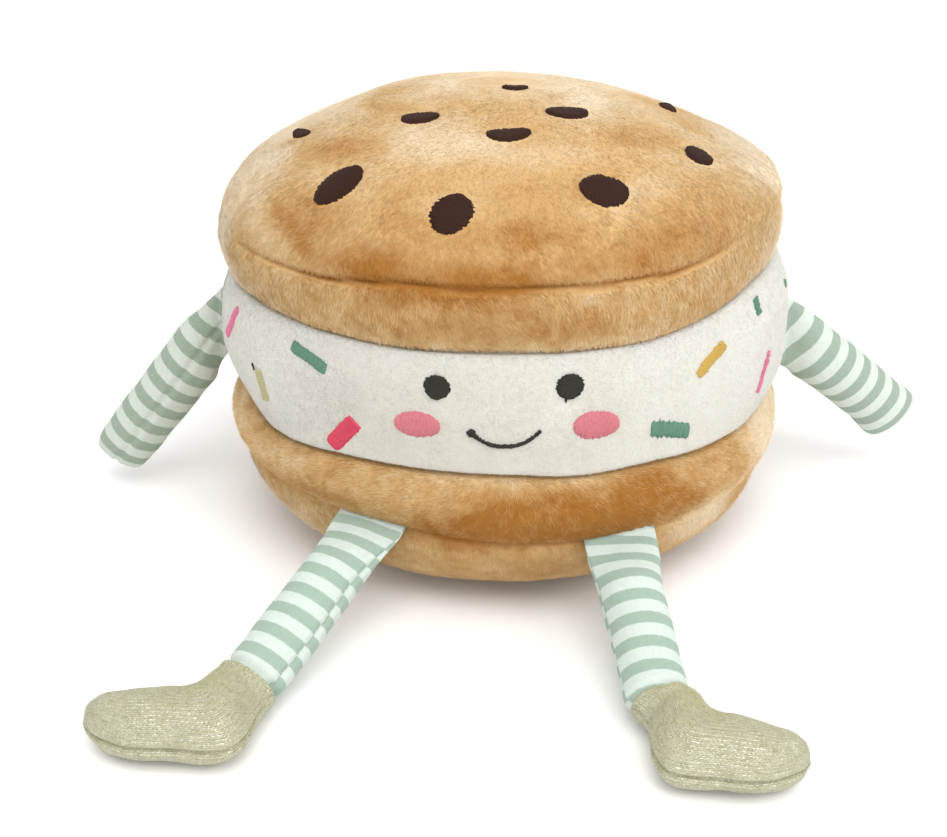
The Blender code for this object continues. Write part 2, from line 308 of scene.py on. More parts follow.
class Tree:
    """Adds nodes to a node tree and joins them."""

    def __init__(self, tree: NodeTree) -> None:
        """Wraps a tree."""
        self.tree = tree

    def add(self, kind: str, inputs: dict | None = None, **settings: object) -> Node:
        """Adds one node.

        Args:
            kind: the node's type, without its ShaderNode prefix.
            inputs: values or other nodes' outputs, by input name or number.
            settings: the node's own properties.

        Returns:
            The node.
        """
        node = self.tree.nodes.new("ShaderNode" + kind)
        for name, value in settings.items():
            setattr(node, name, value)
        self.fill(node, inputs or {})
        return node

    def fill(self, node: Node, inputs: dict) -> None:
        """Feeds several of a node's inputs, by name or number."""
        for name, value in inputs.items():
            self.feed(node.inputs[name], value)

    def feed(self, socket: Socket, value: object) -> None:
        """Links an output to a socket, or sets the socket to a plain value."""
        if isinstance(value, Socket):
            self.tree.links.new(value, socket)
        elif isinstance(value, tuple) and len(value) == 3 and socket.type == "RGBA":
            socket.default_value = (*value, 1.0)
        else:
            socket.default_value = value

    def maths(self, operation: str, *values: object) -> Socket:
        """Returns the result of one Math node on one to three values."""
        node = self.add("Math", operation=operation)
        for socket, value in zip(node.inputs, values):
            self.feed(socket, value)
        return node.outputs[0]

    def mixed(self, share: object, first: object, second: object) -> Socket:
        """Returns a mix of two colours."""
        node = self.add("Mix", data_type="RGBA")
        self.fill(node, {"Factor": share, 6: first, 7: second})
        return node.outputs[2]

    def ramp(self, value: object, low: float, high: float, smooth: bool = True) -> Socket:
        """Returns 0 where value is below low, 1 above high, and a ramp between."""
        node = self.add("MapRange", {"Value": value, "From Min": low, "From Max": high})
        node.interpolation_type = "SMOOTHSTEP" if smooth else "LINEAR"
        return node.outputs["Result"]

    def noise(self, vector: object, scale: object, detail: float, roughness: float) -> Socket:
        """Returns the value of a Noise Texture with features 1/scale across."""
        inputs = {"Vector": vector, "Scale": scale, "Detail": detail, "Roughness": roughness}
        return self.add("TexNoise", inputs).outputs["Fac"]

    def here(self) -> Socket:
        """Returns the place on the piece, in metres."""
        return self.add("TexCoord").outputs["Object"]

    def stored(self, name: str, output: str = "Fac") -> Socket:
        """Returns an attribute that is stored with the mesh."""
        return self.add("Attribute", attribute_name=name).outputs[output]

    def swing(self, value: object, reach: object) -> Socket:
        """Returns how far a value from 0 to 1 is from its middle, times a reach."""
        return self.maths("MULTIPLY", self.maths("SUBTRACT", value, 0.5), reach)

    def scaled(self, colour: object, factor: object) -> Socket:
        """Returns a colour times a factor."""
        return self.add("VectorMath", {0: colour, "Scale": factor}, operation="SCALE").outputs[0]

    def relief(self, height: object, strength: object, distance: object) -> Socket:
        """Returns the normal of a Bump node."""
        node = self.add("Bump", {"Strength": strength, "Distance": distance, "Height": height})
        return node.outputs["Normal"]


def new_group(name: str, inputs: dict[str, object], outputs: dict[str, str]) -> tuple[Tree, dict, dict]:
    """Makes an empty shader group.

    Args:
        name: the group's name.
        inputs: each input's default: a number, a colour, or None for a vector.
        outputs: each output's kind: Float, Color or Vector.

    Returns:
        The group's tree, its inputs to read by name, and its outputs to feed by name.
    """
    tree = bpy.data.node_groups.new(name, "ShaderNodeTree")
    for label, default in inputs.items():
        kind = "Vector" if default is None else "Color" if isinstance(default, tuple) else "Float"
        socket = tree.interface.new_socket(label, in_out="INPUT", socket_type="NodeSocket" + kind)
        if default is not None:
            socket.default_value = (*default, 1.0) if kind == "Color" else default
    for label, kind in outputs.items():
        tree.interface.new_socket(label, in_out="OUTPUT", socket_type="NodeSocket" + kind)
    entry, leave = tree.nodes.new("NodeGroupInput"), tree.nodes.new("NodeGroupOutput")
    read = {label: entry.outputs[label] for label in inputs}
    return Tree(tree), read, {label: leave.inputs[label] for label in outputs}


class Effects:
    """The shader groups that several finishes share. Each is built once."""

    def __init__(self) -> None:
        """Builds all groups."""
        self.nap = self._nap()
        self.fuzz = self._fuzz()
        self.stitches = self._stitches()
        self.wear = self._wear()

    @staticmethod
    def _nap() -> NodeTree:
        """A pile's colour: mottled, with painted shade and highlight from its nap-and-shade value, and
        painted root shade.
        """
        tufts_per_metre, tuft_depth, strand_depth = 420.0, 0.35, 0.35
        # Painted shade deep in the pile: the colour is darkened to 86 percent at the roots and lifted to 102
        # percent at the tips.
        painted_root_shade, painted_tip_gain = 0.86, 0.16
        inputs = {
            "Light": (0.8, 0.6, 0.4), "Middle": (0.6, 0.4, 0.2), "Dark": (0.5, 0.3, 0.1),
            "Brushed": 0.0, "Tip": 1.0, "Strand": 0.5, "Mottle": 0.3, "Patch Scale": 45.0,
        }
        tree, given, made = new_group("Nap", inputs, {"Colour": "Color"})
        place = tree.here()
        patches = tree.maths("SUBTRACT", tree.noise(place, given["Patch Scale"], 3.0, 0.6), 0.5)
        # The nap-and-shade value lays painted shade and painted highlight over the mottle.
        lay_and_shade = tree.maths("MULTIPLY_ADD", patches, given["Mottle"], given["Brushed"])
        grain = tree.swing(tree.noise(place, tufts_per_metre, 3.0, 0.65), tuft_depth)
        strand = tree.swing(given["Strand"], strand_depth)
        total = tree.maths("ADD", tree.maths("ADD", lay_and_shade, grain), strand)
        share = tree.add("Clamp", {"Value": total}).outputs[0]
        body = tree.mixed(tree.ramp(share, 0.0, 0.5, False), given["Light"], given["Middle"])
        body = tree.mixed(tree.ramp(share, 0.5, 1.0, False), body, given["Dark"])
        depth = tree.maths("MULTIPLY_ADD", given["Tip"], painted_tip_gain, painted_root_shade)
        tree.feed(made["Colour"], tree.scaled(body, depth))
        return tree.tree

    @staticmethod
    def _fuzz() -> NodeTree:
        """A fine brushed grain for cloth seen between its fibres, as a normal."""
        inputs = {"Strength": 0.4, "Size": 0.8 * MM, "Height": 0.4 * MM}
        tree, given, made = new_group("Fuzz", inputs, {"Normal": "Vector"})
        grain = tree.noise(tree.here(), tree.maths("DIVIDE", 1.0, given["Size"]), 4.0, 0.7)
        tree.feed(made["Normal"], tree.relief(grain, given["Strength"], given["Height"]))
        return tree.tree

    @staticmethod
    def _stitches() -> NodeTree:
        """The small V loops of a knit, from a map in metres: a height of loops and a mask of their legs."""
        slope, leg_share, groove_share, loft = 1.1, 0.35, 0.5, 0.3 * MM
        inputs = {"Map": None, "Wale": 0.9 * MM, "Course": 0.8 * MM, "Strength": 0.5}
        tree, given, made = new_group("Knit", inputs, {"Normal": "Vector", "Loop": "Float", "Rib": "Float"})
        axes = tree.add("SeparateXYZ", {0: given["Map"]})
        inside = tree.maths("PINGPONG", tree.maths("DIVIDE", axes.outputs["X"], given["Wale"]), 0.5)
        course = tree.maths("DIVIDE", axes.outputs["Y"], given["Course"])
        slant = tree.maths("MULTIPLY_ADD", inside, slope, course)
        leg, groove = (tree.maths("SINE", tree.maths("MULTIPLY", part, math.tau)) for part in (slant, inside))
        height = tree.maths("MULTIPLY_ADD", leg, leg_share, tree.maths("MULTIPLY", groove, groove_share))
        loop = tree.ramp(height, -0.6, 0.6)
        tree.feed(made["Normal"], tree.relief(loop, given["Strength"], loft))
        tree.feed(made["Loop"], loop)
        tree.feed(made["Rib"], groove)
        return tree.tree

    @staticmethod
    def _wear() -> NodeTree:
        """Slight unevenness of a dye, as a colour and a roughness."""
        inputs = {"Colour": (0.8, 0.8, 0.8), "Amount": 0.1, "Size": 10 * MM, "Roughness": 0.8}
        tree, given, made = new_group("Dye", inputs, {"Colour": "Color", "Roughness": "Float"})
        cloud = tree.noise(tree.here(), tree.maths("DIVIDE", 1.0, given["Size"]), 5.0, 0.6)
        swing = tree.swing(cloud, given["Amount"])
        tree.feed(made["Colour"], tree.scaled(given["Colour"], tree.maths("SUBTRACT", 1.0, swing)))
        half = tree.maths("MULTIPLY", swing, 0.5)
        tree.feed(made["Roughness"], tree.maths("ADD", given["Roughness"], half))
        return tree.tree


def new_material(name: str) -> tuple[Material, Tree, Node]:
    """Makes a material with a Principled shader.

    Returns:
        The material, its tree and the shader node.
    """
    material = bpy.data.materials.new(name)
    material.use_nodes = True
    return material, Tree(material.node_tree), material.node_tree.nodes["Principled BSDF"]


def grouped(tree: Tree, group: NodeTree, inputs: dict) -> bpy.types.bpy_prop_collection:
    """Places a shared effect in a material, sets its inputs and returns its outputs."""
    node = tree.tree.nodes.new("ShaderNodeGroup")
    node.node_tree = group
    tree.fill(node, inputs)
    return node.outputs


@dataclass(frozen=True)
class PlushFinish:
    """A plush cloth: the colours of its nap and how it takes light."""

    name: str
    # The nap's colours from light to dark. The nap-and-shade value picks among them, so the light end also
    # carries painted highlight and the dark end painted shade.
    light: Colour
    middle: Colour
    dark: Colour
    mottle: float
    patch_scale: float = 45.0
    sheen: float = 0.06
    # The backing is coloured as the pile this far from its roots, so it takes part of the painted root shade.
    backing_tip: float = 0.35

    def _finished(self, part: str, effects: Effects, fibres: bool) -> Material:
        """Returns one of the plush's two materials.

        Args:
            part: the end of its name.
            effects: the shared shader groups.
            fibres: whether it is for the fibres, or for the cloth that they stand on.
        """
        material, tree, shader = new_material(f"{self.name}_{part}")
        # The nap colour carries painted shade and highlight from the nap-and-shade attribute, and painted
        # root shade from the tip.
        nap = grouped(tree, effects.nap, {
            "Light": self.light, "Middle": self.middle, "Dark": self.dark, "Mottle": self.mottle,
            "Brushed": tree.stored("brushed"), "Patch Scale": self.patch_scale,
            "Tip": tree.stored("tip") if fibres else self.backing_tip,
            "Strand": tree.stored("strand") if fibres else 0.5,
        })
        if fibres:
            normal = tree.stored("soft_normal", "Vector")
        else:
            grain = {"Strength": 0.7, "Size": 0.7 * MM, "Height": 0.5 * MM}
            normal = grouped(tree, effects.fuzz, grain)["Normal"]
        tree.fill(shader, {
            "Base Color": nap["Colour"], "Normal": normal, "Roughness": 0.9, "Specular IOR Level": 0.15,
            "Sheen Weight": self.sheen, "Sheen Roughness": 0.45, "Sheen Tint": (1.0, 0.95, 0.88, 1.0),
        })
        return material

    def backing(self, effects: Effects) -> Material:
        """Returns the finish of the cloth between the fibres."""
        return self._finished("backing", effects, False)

    def fibres(self, effects: Effects) -> Material:
        """Returns the finish of the fibres, darker at their roots."""
        return self._finished("pile", effects, True)


@dataclass(frozen=True)
class JerseyFinish:
    """Striped knit jersey, from a map with metres round the limb and metres along it."""

    name: str
    dark: Colour
    light: Colour
    pitch: float
    start: float
    dark_share: float = 0.50
    ragged: float = 0.5 * MM
    edge: float = 0.03

    def material(self, effects: Effects) -> Material:
        """Returns the striped material."""
        material, tree, shader = new_material(self.name)
        place = tree.add("UVMap", uv_map="cloth").outputs["UV"]
        uneven = tree.maths("SUBTRACT", tree.noise(tree.here(), 900.0, 2.0, 0.5), 0.5)
        length = tree.add("SeparateXYZ", {0: place}).outputs["Y"]
        along = tree.maths("MULTIPLY_ADD", uneven, self.ragged, length)
        stripes = tree.maths("DIVIDE", tree.maths("SUBTRACT", along, self.start), self.pitch)
        phase = tree.maths("FRACT", stripes)
        middle = tree.maths("ABSOLUTE", tree.maths("SUBTRACT", phase, 0.5))
        half = self.dark_share / 2
        stripe = tree.maths("SUBTRACT", 1.0, tree.ramp(middle, half - self.edge, half + self.edge))
        cloth = grouped(tree, effects.wear, {
            "Colour": tree.mixed(stripe, self.light, self.dark), "Amount": 0.22, "Size": 1.6 * MM,
            "Roughness": 0.82,
        })
        loops = {"Map": place, "Wale": 0.8 * MM, "Course": 0.7 * MM, "Strength": 0.45}
        tree.fill(shader, {
            "Base Color": cloth["Colour"], "Roughness": cloth["Roughness"],
            "Normal": grouped(tree, effects.stitches, loops)["Normal"], "Specular IOR Level": 0.2,
            "Sheen Weight": 0.12, "Sheen Roughness": 0.5,
        })
        return material


@dataclass(frozen=True)
class GoldKnitFinish:
    """Ribbed knit with a metallic thread that glitters."""

    name: str
    yarn: Colour
    # The colour of the rib grooves and of random streaks along the yarn: painted shade in the grooves, a
    # darker yarn tone along the streaks.
    hollow: Colour
    thread: Colour
    # A yellow-green colour laid on round the instep, where the crease attribute is high: painted shade.
    crease: Colour
    rib: float
    course: float = 1.0 * MM
    flecks_per_metre: float = 2600.0
    instep_shade_share: float = 0.75
    worn_thread: float = 0.75

    def material(self, effects: Effects) -> Material:
        """Returns the knit's material."""
        material, tree, shader = new_material(self.name)
        place = tree.add("UVMap", uv_map="cloth").outputs["UV"]
        loops = {"Map": place, "Wale": self.rib, "Course": self.course, "Strength": 0.55}
        knit = grouped(tree, effects.stitches, loops)
        space = tree.here()
        flecks = tree.add("TexVoronoi", {"Vector": space, "Scale": self.flecks_per_metre}).outputs["Color"]
        glint = tree.ramp(tree.add("SeparateColor", {0: flecks}).outputs[0], 0.40, 0.95)
        uneven = {"Colour": self.yarn, "Amount": 0.5, "Size": 3.0 * MM, "Roughness": 0.55}
        yarn = grouped(tree, effects.wear, uneven)["Colour"]
        lengths = tree.add("VectorMath", {0: place, 1: (1.0, 0.22, 1.0)}, operation="MULTIPLY").outputs[0]
        streak = tree.ramp(tree.noise(lengths, 1500.0, 3.0, 0.7), 0.32, 0.62)
        # Painted shade: the rib grooves, and random streaks along the yarn, take the hollow colour.
        groove_shade_mix = tree.maths("MULTIPLY_ADD", tree.ramp(knit["Rib"], 0.0, 0.75), 0.45, streak)
        # Painted shade: round the instep, the crease attribute mixes in the yellow-green crease colour.
        instep_shaded = tree.maths("MULTIPLY", tree.stored("crease"), self.instep_shade_share)
        tinted = tree.mixed(instep_shaded, yarn, self.crease)
        deep = tree.mixed(tree.add("Clamp", {"Value": groove_shade_mix}).outputs[0], self.hollow, tinted)
        worn = tuple(self.worn_thread * part for part in self.thread)
        lame = tree.mixed(tree.ramp(tree.noise(space, 160.0, 4.0, 0.6), 0.35, 0.65), self.thread, worn)
        cover = tree.maths("MULTIPLY", glint, tree.maths("MULTIPLY", knit["Loop"], knit["Rib"]))
        tree.fill(shader, {
            "Base Color": tree.mixed(cover, deep, lame),
            "Metallic": tree.maths("MULTIPLY_ADD", cover, 0.55, 0.10),
            "Roughness": tree.maths("MULTIPLY_ADD", cover, -0.3, 0.62),
            "Normal": knit["Normal"],
            "Sheen Weight": 0.1,
        })
        return material


class Thread(Enum):
    """The embroidery threads and their colours."""

    COCOA = dyed(52, 29, 20)
    CHARCOAL = dyed(48, 47, 42)
    ROSE = dyed(196, 118, 126)
    RASPBERRY = dyed(200, 72, 92)
    PINK = dyed(206, 120, 148)
    GREEN = dyed(96, 134, 112)
    HONEY = dyed(192, 160, 84)
    OLIVE = dyed(182, 178, 138)


def thread_material(thread: Thread, effects: Effects) -> Material:
    """Returns the satin finish of an embroidery thread."""
    material, tree, shader = new_material("thread_" + thread.name.lower())
    uneven = {"Colour": thread.value, "Amount": 0.5, "Size": 0.9 * MM, "Roughness": 0.6}
    cloth = grouped(tree, effects.wear, uneven)
    fuzz = grouped(tree, effects.fuzz, {"Strength": 0.25, "Size": 0.25 * MM, "Height": 0.1 * MM})
    tree.fill(shader, {
        "Base Color": cloth["Colour"], "Roughness": cloth["Roughness"], "Normal": fuzz["Normal"],
        "Specular IOR Level": 0.15,
    })
    return material


COOKIE_PLUSH = PlushFinish("cookie_plush", dyed(235, 215, 183), dyed(206, 167, 113), dyed(166, 109, 46), 0.5)
CREAM_PLUSH = PlushFinish(
    "cream_plush", dyed(224, 222, 213), dyed(216, 213, 203), dyed(203, 199, 189), 0.36, patch_scale=90.0
)
LEFT_ARM_JERSEY = JerseyFinish(
    "left_arm_jersey", dyed(144, 159, 142), dyed(194, 201, 190), pitch=8.79 * MM, start=1.1 * MM
)
RIGHT_ARM_JERSEY = JerseyFinish(
    "right_arm_jersey", dyed(150, 166, 151), dyed(203, 212, 202), pitch=9.45 * MM, start=4.0 * MM
)
LEFT_LEG_JERSEY = JerseyFinish(
    "left_leg_jersey", dyed(154, 174, 159), dyed(200, 212, 204), pitch=7.9 * MM, start=3.0 * MM
)
RIGHT_LEG_JERSEY = replace(
    LEFT_LEG_JERSEY, name="right_leg_jersey", pitch=8.3 * MM, start=2.2 * MM, dark_share=0.48
)
GOLD_KNIT = GoldKnitFinish(
    "gold_knit", dyed(168, 166, 135), dyed(130, 128, 90), dyed(216, 214, 200), dyed(164, 163, 98), 1.15 * MM
)


# The round body

Rows = tuple[tuple[float, float], ...]
Shape = Callable[[Array], Array]


def around(azimuth: Array, rows: Rows, rounding: float = 0.0) -> Array:
    """Reads a table of azimuths and values at azimuths, all in degrees, rounding its corners.

    Args:
        azimuth: where to read it.
        rows: the table.
        rounding: how far to each side the corners are rounded.
    """
    azimuths, values = zip(*rows)
    steps = np.linspace(-rounding, rounding, 5) if rounding else (0.0,)
    return sum(np.interp(azimuth + step, azimuths, values, period=360) for step in steps) / len(steps)


@dataclass(frozen=True)
class BodyPlan:
    """Where the seams of the round body run: heights above the floor, and radii, in metres.

    Each row of a tug or of the swell is a height and a distance, both in metres: how far the sides are
    tugged out, or the cream is pushed up. They set in where the sideways share of the radius passes
    tug_from or swell_from. Each row of a reach is a height and how much of a wander counts there, and each
    row of a wander is an azimuth in degrees and how far up a seam lies there, in millimetres.
    """

    height: float
    cream_top: float = 95.0 * MM
    cream_base: float = 53.5 * MM
    rim_height: float = 113.5 * MM
    rim_radius: float = 95.0 * MM
    cream_top_radius: float = 92.5 * MM
    cream_base_radius: float = 93.0 * MM
    leg_seam_height: float = 31.0 * MM
    leg_seam_radius: float = 94.5 * MM
    base_radius: float = 50.0 * MM
    lean: float = 1.8 * MM
    shift: float = 2.2 * MM
    rise: float = 3.8 * MM
    dome_power: float = 1.90
    base_power: float = 2.15
    tug_from: float = 0.62
    tug_over: float = 0.36
    swell_from: float = 0.40
    swell_over: float = 0.50
    wander_rounding: float = 5.0
    left_tug: Rows = (
        (0.0010, 0), (0.0080, 0.0001), (0.0160, 0.0007), (0.0240, 0.0014), (0.0310, 0.0016),
        (0.0400, 0.0008), (0.0450, -0.0002), (0.0535, -0.0026), (0.0620, 0.0010), (0.0700, 0.0032),
        (0.0850, 0.0032), (0.0950, 0.0005), (0.1040, 0),
    )
    right_tug: Rows = (
        (0.0200, 0), (0.0310, 0.0010), (0.0440, 0.0034), (0.0535, 0.0046), (0.0620, 0.0065),
        (0.0850, 0.0065), (0.0950, 0.0020), (0.1040, 0),
    )
    right_swell: Rows = (
        (0.0310, 0), (0.0535, -0.0035), (0.0740, 0), (0.0950, 0.0082), (0.1135, 0.0050), (0.1380, 0),
    )

    top_reach: Rows = ((0.0740, 0), (0.0950, 1), (0.1080, 0.2), (0.1135, 0))
    top_wander: Rows = (
        (-100, -0.4), (-84, -1.1), (-72, -1.0), (-60, 0), (-30, -0.2), (0, -0.6), (10, -0.9), (20, -0.4),
        (30, -1.0), (36, -1.9), (42, -3.4), (48, -3.8), (54, -2.4), (60, -2.0), (66, -1.5), (72, 0),
        (84, 0.4), (100, 0),
    )
    base_reach: Rows = ((0.0310, 0), (0.0535, 1), (0.0740, 0))
    base_wander: Rows = (
        (-110, 0), (-100, -2.0), (-88, -1.8), (-80, -1.2), (-72, -2.8), (-66, -3.8), (-60, -5.2),
        (-54, -4.6), (-48, -2.4), (-42, -1.3), (-34, 0.2), (-20, 0.7), (-6, 0.9), (0, 1.2), (6, 0.2),
        (12, -1.1), (20, -1.1), (32, -0.6), (42, -1.5), (50, -0.5), (54, 0.4), (60, 1.9), (66, 3.2),
        (72, 5.2), (84, 5.2), (94, 3.2), (112, 0),
    )

    @classmethod
    def from_frame(cls) -> "BodyPlan":
        """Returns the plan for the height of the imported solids."""
        return cls(height=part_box("cookie_top")[1].z)

    def leaned(self, points: Array) -> Array:
        """Moves the dome's points towards +X, most halfway up."""
        up = np.clip((points[..., 2] - self.rim_height) / (self.height - self.rim_height), 0, 1)
        moved = points.copy()
        moved[..., 0] += self.lean * np.sin(np.pi * up)
        return moved

    def squashed(self, points: Array) -> Array:
        """Moves the lower cookie's points towards +X, with its seam higher at -X."""
        height = points[..., 2]
        low = np.clip(height / self.leg_seam_height, 0, 1)
        high = np.clip((self.cream_base - height) / (self.cream_base - self.leg_seam_height), 0, 1)
        moved = points.copy()
        moved[..., 0] += self.shift * eased(high)
        moved[..., 2] -= self.rise * points[..., 0] / self.rim_radius * np.minimum(low, high)
        return moved

    def tugged(self, points: Array) -> Array:
        """Moves the sides outwards where the arms tug them, and lets the cream swell at +X."""
        height = points[..., 2]
        smallest = 0.3 * MM
        radius = np.maximum(np.hypot(points[..., 0], points[..., 1]), smallest)
        side = points[..., 0] / radius
        near_rim = np.minimum(1.0, radius / self.cream_top_radius) ** 3
        left, right, swell = (
            np.interp(height, *zip(*rows)) for rows in (self.left_tug, self.right_tug, self.right_swell)
        )
        at_side = eased((np.abs(side) - self.tug_from) / self.tug_over)
        tug = np.where(side > 0, right, left) * at_side * near_rim
        moved = points.copy()
        moved[..., :2] += points[..., :2] * (tug / radius)[..., None]
        moved[..., 2] += swell * eased((side - self.swell_from) / self.swell_over) * near_rim
        azimuth = np.degrees(np.arctan2(points[..., 0], -points[..., 1]))
        for reach, wander in ((self.top_reach, self.top_wander), (self.base_reach, self.base_wander)):
            share = np.interp(height, *zip(*reach))
            moved[..., 2] += share * around(azimuth, wander, self.wander_rounding) * MM * near_rim
        return moved

    def upper_shape(self, points: Array) -> Array:
        """Moves turned points to the upper cookie's real shape."""
        return self.tugged(self.leaned(points))

    def lower_shape(self, points: Array) -> Array:
        """Moves turned points to the lower cookie's real shape."""
        return self.tugged(self.squashed(points))


def dome_profile(radius: float, height: float, rise: float, power: float, flat: float = 0.0) -> Array:
    """Returns a superellipse quarter from its pole, at height + rise, to its rim, as (radius, height)."""
    angle = np.linspace(0, math.pi / 2, 200)
    out, up = np.sin(angle) ** (2 / power), np.cos(angle) ** (2 / power)
    return np.stack([flat + (radius - flat) * out, height + rise * up], axis=1)


def band_profile(start: tuple[float, float], end: tuple[float, float], bulge: float) -> Array:
    """Returns a profile from start to end, as (radius, height), bowed outwards by bulge."""
    t = np.linspace(0, 1, 60)
    radius = start[0] + (end[0] - start[0]) * t + bulge * np.sin(np.pi * t)
    return np.stack([radius, start[1] + (end[1] - start[1]) * t], axis=1)


@dataclass(frozen=True)
class Fold:
    """A soft ridge or hollow in stuffed cloth, in millimetres. A hollow has a negative depth."""

    azimuth: float
    down: float
    tilt: float
    length: float
    width: float
    depth: float


@dataclass(frozen=True)
class Brushed:
    """A patch where the nap lies the other way and painted shade, or painted highlight with a negative
    strength, is laid: its place, half sizes in millimetres, and strength.
    """

    azimuth: float
    down: float
    wide: float
    high: float
    strength: float
    tilt: float = 0.0


@dataclass(frozen=True)
class Seam:
    """A sewn seam round the body.

    Attributes:
        down: how far down the cloth it runs, in metres.
        depth: how far it draws the cloth in.
        width: how wide its valley is.
        wander: rows of an azimuth and how far down from its place the seam is there, in millimetres.
        fade: rows of an azimuth and how much of its depth the seam has there.
    """

    down: float
    depth: float
    width: float
    wander: Rows = ((0.0, 0.0),)
    fade: Rows = ((0.0, 1.0),)
    fade_rounding: float = 4.0
    wander_rounding: float = 3.0

    def strength(self, cloth: "TurnedCloth") -> Array:
        """Returns how much of its depth the seam has at each column of a cloth."""
        return around(np.degrees(cloth.azimuths), self.fade, self.fade_rounding)[None, :]

    def distance(self, cloth: "TurnedCloth") -> Array:
        """Returns how far down from the seam each point of a cloth is."""
        shift = around(np.degrees(cloth.azimuths), self.wander, self.wander_rounding) * MM
        return cloth.down[:, None] - (self.down + shift)[None, :]


class Outline(Enum):
    """The outline of a satin-stitched motif."""

    OVAL = "oval"
    BAR = "bar"
    SMILE = "smile"


@dataclass(frozen=True)
class Motif:
    """A satin-stitched motif at an azimuth and a distance down the cloth, with sizes in millimetres."""

    thread: Thread
    outline: Outline
    azimuth: float
    down: float
    length: float
    width: float
    tilt: float = 0.0
    ragged: float = 0.10
    slant: float = 0.0


class TurnedCloth(Cloth):
    """Cloth turned about the body's middle line. Its rows run down from the top."""

    RAGGED_SIZES = (15 * MM, 6 * MM)
    RAGGED = 0.30
    PATCH_EDGE = 1.5
    PATCH_FADE = 1.1
    SEAM_SHADE_SIZE = 7 * MM

    def __init__(self, profile: Array, rows: int, columns: int, shape: Shape) -> None:
        """Turns the profile.

        Args:
            profile: (radius, height) from the top down.
            rows: how many rows to make of it.
            columns: how many points go round.
            shape: moves the turned points to their real places.
        """
        path = resampled(profile, rows)
        self.profile = path
        self.step = float(np.linalg.norm(np.diff(path, axis=0), axis=1).mean())
        self.azimuths = np.arange(columns) * math.tau / columns - math.pi
        radius, height = path[:, :1], path[:, 1:]
        points = np.stack([
            radius * np.sin(self.azimuths),
            -radius * np.cos(self.azimuths),
            np.broadcast_to(height, (rows, columns)),
        ], axis=-1)
        heart = np.array([0, 0, float(profile[:, 1].mean())])
        super().__init__(shape(points), np.broadcast_to(heart, (rows, 3)))

    @property
    def down(self) -> Array:
        """The distance of each row down the cloth, in metres."""
        return np.arange(self.rows) * self.step

    def down_of_height(self, height: float) -> float:
        """Returns how far down the cloth a height of the profile is, in metres."""
        return float(np.interp(-height, -self.profile[:, 1], self.down))

    def turned_offsets(self, azimuth: float, down: float, tilt: float) -> tuple[Array, Array]:
        """Returns how far each point lies along and across a tilted direction from a place, in metres."""
        turn = (self.azimuths - math.radians(azimuth) + math.pi) % math.tau - math.pi
        east = turn[None, :] * self.profile[:, :1]
        north = np.broadcast_to((down - self.down)[:, None], east.shape)
        turn = math.radians(tilt)
        return east * math.cos(turn) + north * math.sin(turn), north * math.cos(turn) - east * math.sin(turn)

    def folds(self, folds: Sequence[Fold]) -> Array:
        """Returns the relief of soft folds."""
        relief = np.zeros(self.points.shape[:2])
        for fold in folds:
            along, across = self.turned_offsets(fold.azimuth, fold.down * MM, fold.tilt)
            relief += fold.depth * MM * bump(along, fold.length * MM) * bump(across, fold.width * MM)
        return relief

    def brushed(self, patches: Sequence[Brushed], base: float, seed: int) -> Array:
        """Returns the nap-and-shade value at each point, from 0 to 1: how far the nap lies the other way,
        with painted shade and painted highlight.

        Args:
            patches: the patches where it differs.
            base: its value elsewhere.
            seed: chooses the raggedness of the patches' edges.
        """
        total = np.full(self.points.shape[:2], base)
        coarse, fine = self.RAGGED_SIZES
        ragged = Noise(seed).at(self.points, coarse) + 0.6 * Noise(seed + 1).at(self.points, fine)
        for patch in patches:
            along, across = self.turned_offsets(patch.azimuth, patch.down * MM, patch.tilt)
            distance = np.hypot(along / (patch.wide * MM), across / (patch.high * MM)) + self.RAGGED * ragged
            total += patch.strength * eased((self.PATCH_EDGE - distance) / self.PATCH_FADE)
        return np.clip(total, 0.0, 1.0)

    def parted_seam_shade(self, seam: Seam, width: float, strength: float) -> Array:
        """Returns the painted shade along a seam where the nap parts over it: how much darker the colour is
        made at each point.
        """
        uneven = 0.75 + 0.5 * Noise(77).at(self.points, self.SEAM_SHADE_SIZE)
        return strength * bump(seam.distance(self), width) * seam.strength(self) * np.clip(uneven, 0.1, 1.3)

    def round_vectors(self) -> Array:
        """Returns for each point the level direction round the body, towards +azimuth."""
        level = np.stack([np.cos(self.azimuths), np.sin(self.azimuths), np.zeros(self.columns)], axis=-1)
        return np.broadcast_to(level, self.points.shape)


def body_relief(cloth: TurnedCloth, seed: int, seams: Sequence[Seam], lump: float = 0.8 * MM) -> Array:
    """Returns the unevenness of a stuffed panel: soft lumps, and seams that draw it in and pucker it.

    Args:
        cloth: the panel.
        seed: chooses the lumps.
        seams: the seams in it and at its ends.
        lump: how high the lumps are.

    Returns:
        The distance out from the smooth shape at each point, in metres.
    """
    big, small, finest = 38 * MM, 16 * MM, 6 * MM
    near, far = 3.2 * MM, 6 * MM
    lumps, gather = Noise(seed), Noise(seed + 50)
    relief = lump * (lumps.at(cloth.points, big) + 0.35 * lumps.at(cloth.points, small))
    relief += 0.10 * MM * lumps.at(cloth.points, finest)
    stretched = cloth.points * np.array([1, 1, 0.3])
    pucker = gather.at(stretched, 8 * MM) * 0.6 + gather.at(stretched, 4 * MM) * 0.3
    for seam in seams:
        off = np.abs(seam.distance(cloth))
        depth = seam.depth * seam.strength(cloth)
        relief -= depth * bump(off, seam.width) * (1 + 0.3 * pucker)
        relief -= 0.22 * depth * np.exp(-off / near)
        relief += pucker * MM * 0.4 * np.exp(-off / far)
    return relief


def with_ends(values: Array) -> Array:
    """Returns a grid's values followed by those of the two points that close its ends."""
    return np.concatenate([values.ravel(), [values[0].mean(), values[-1].mean()]])


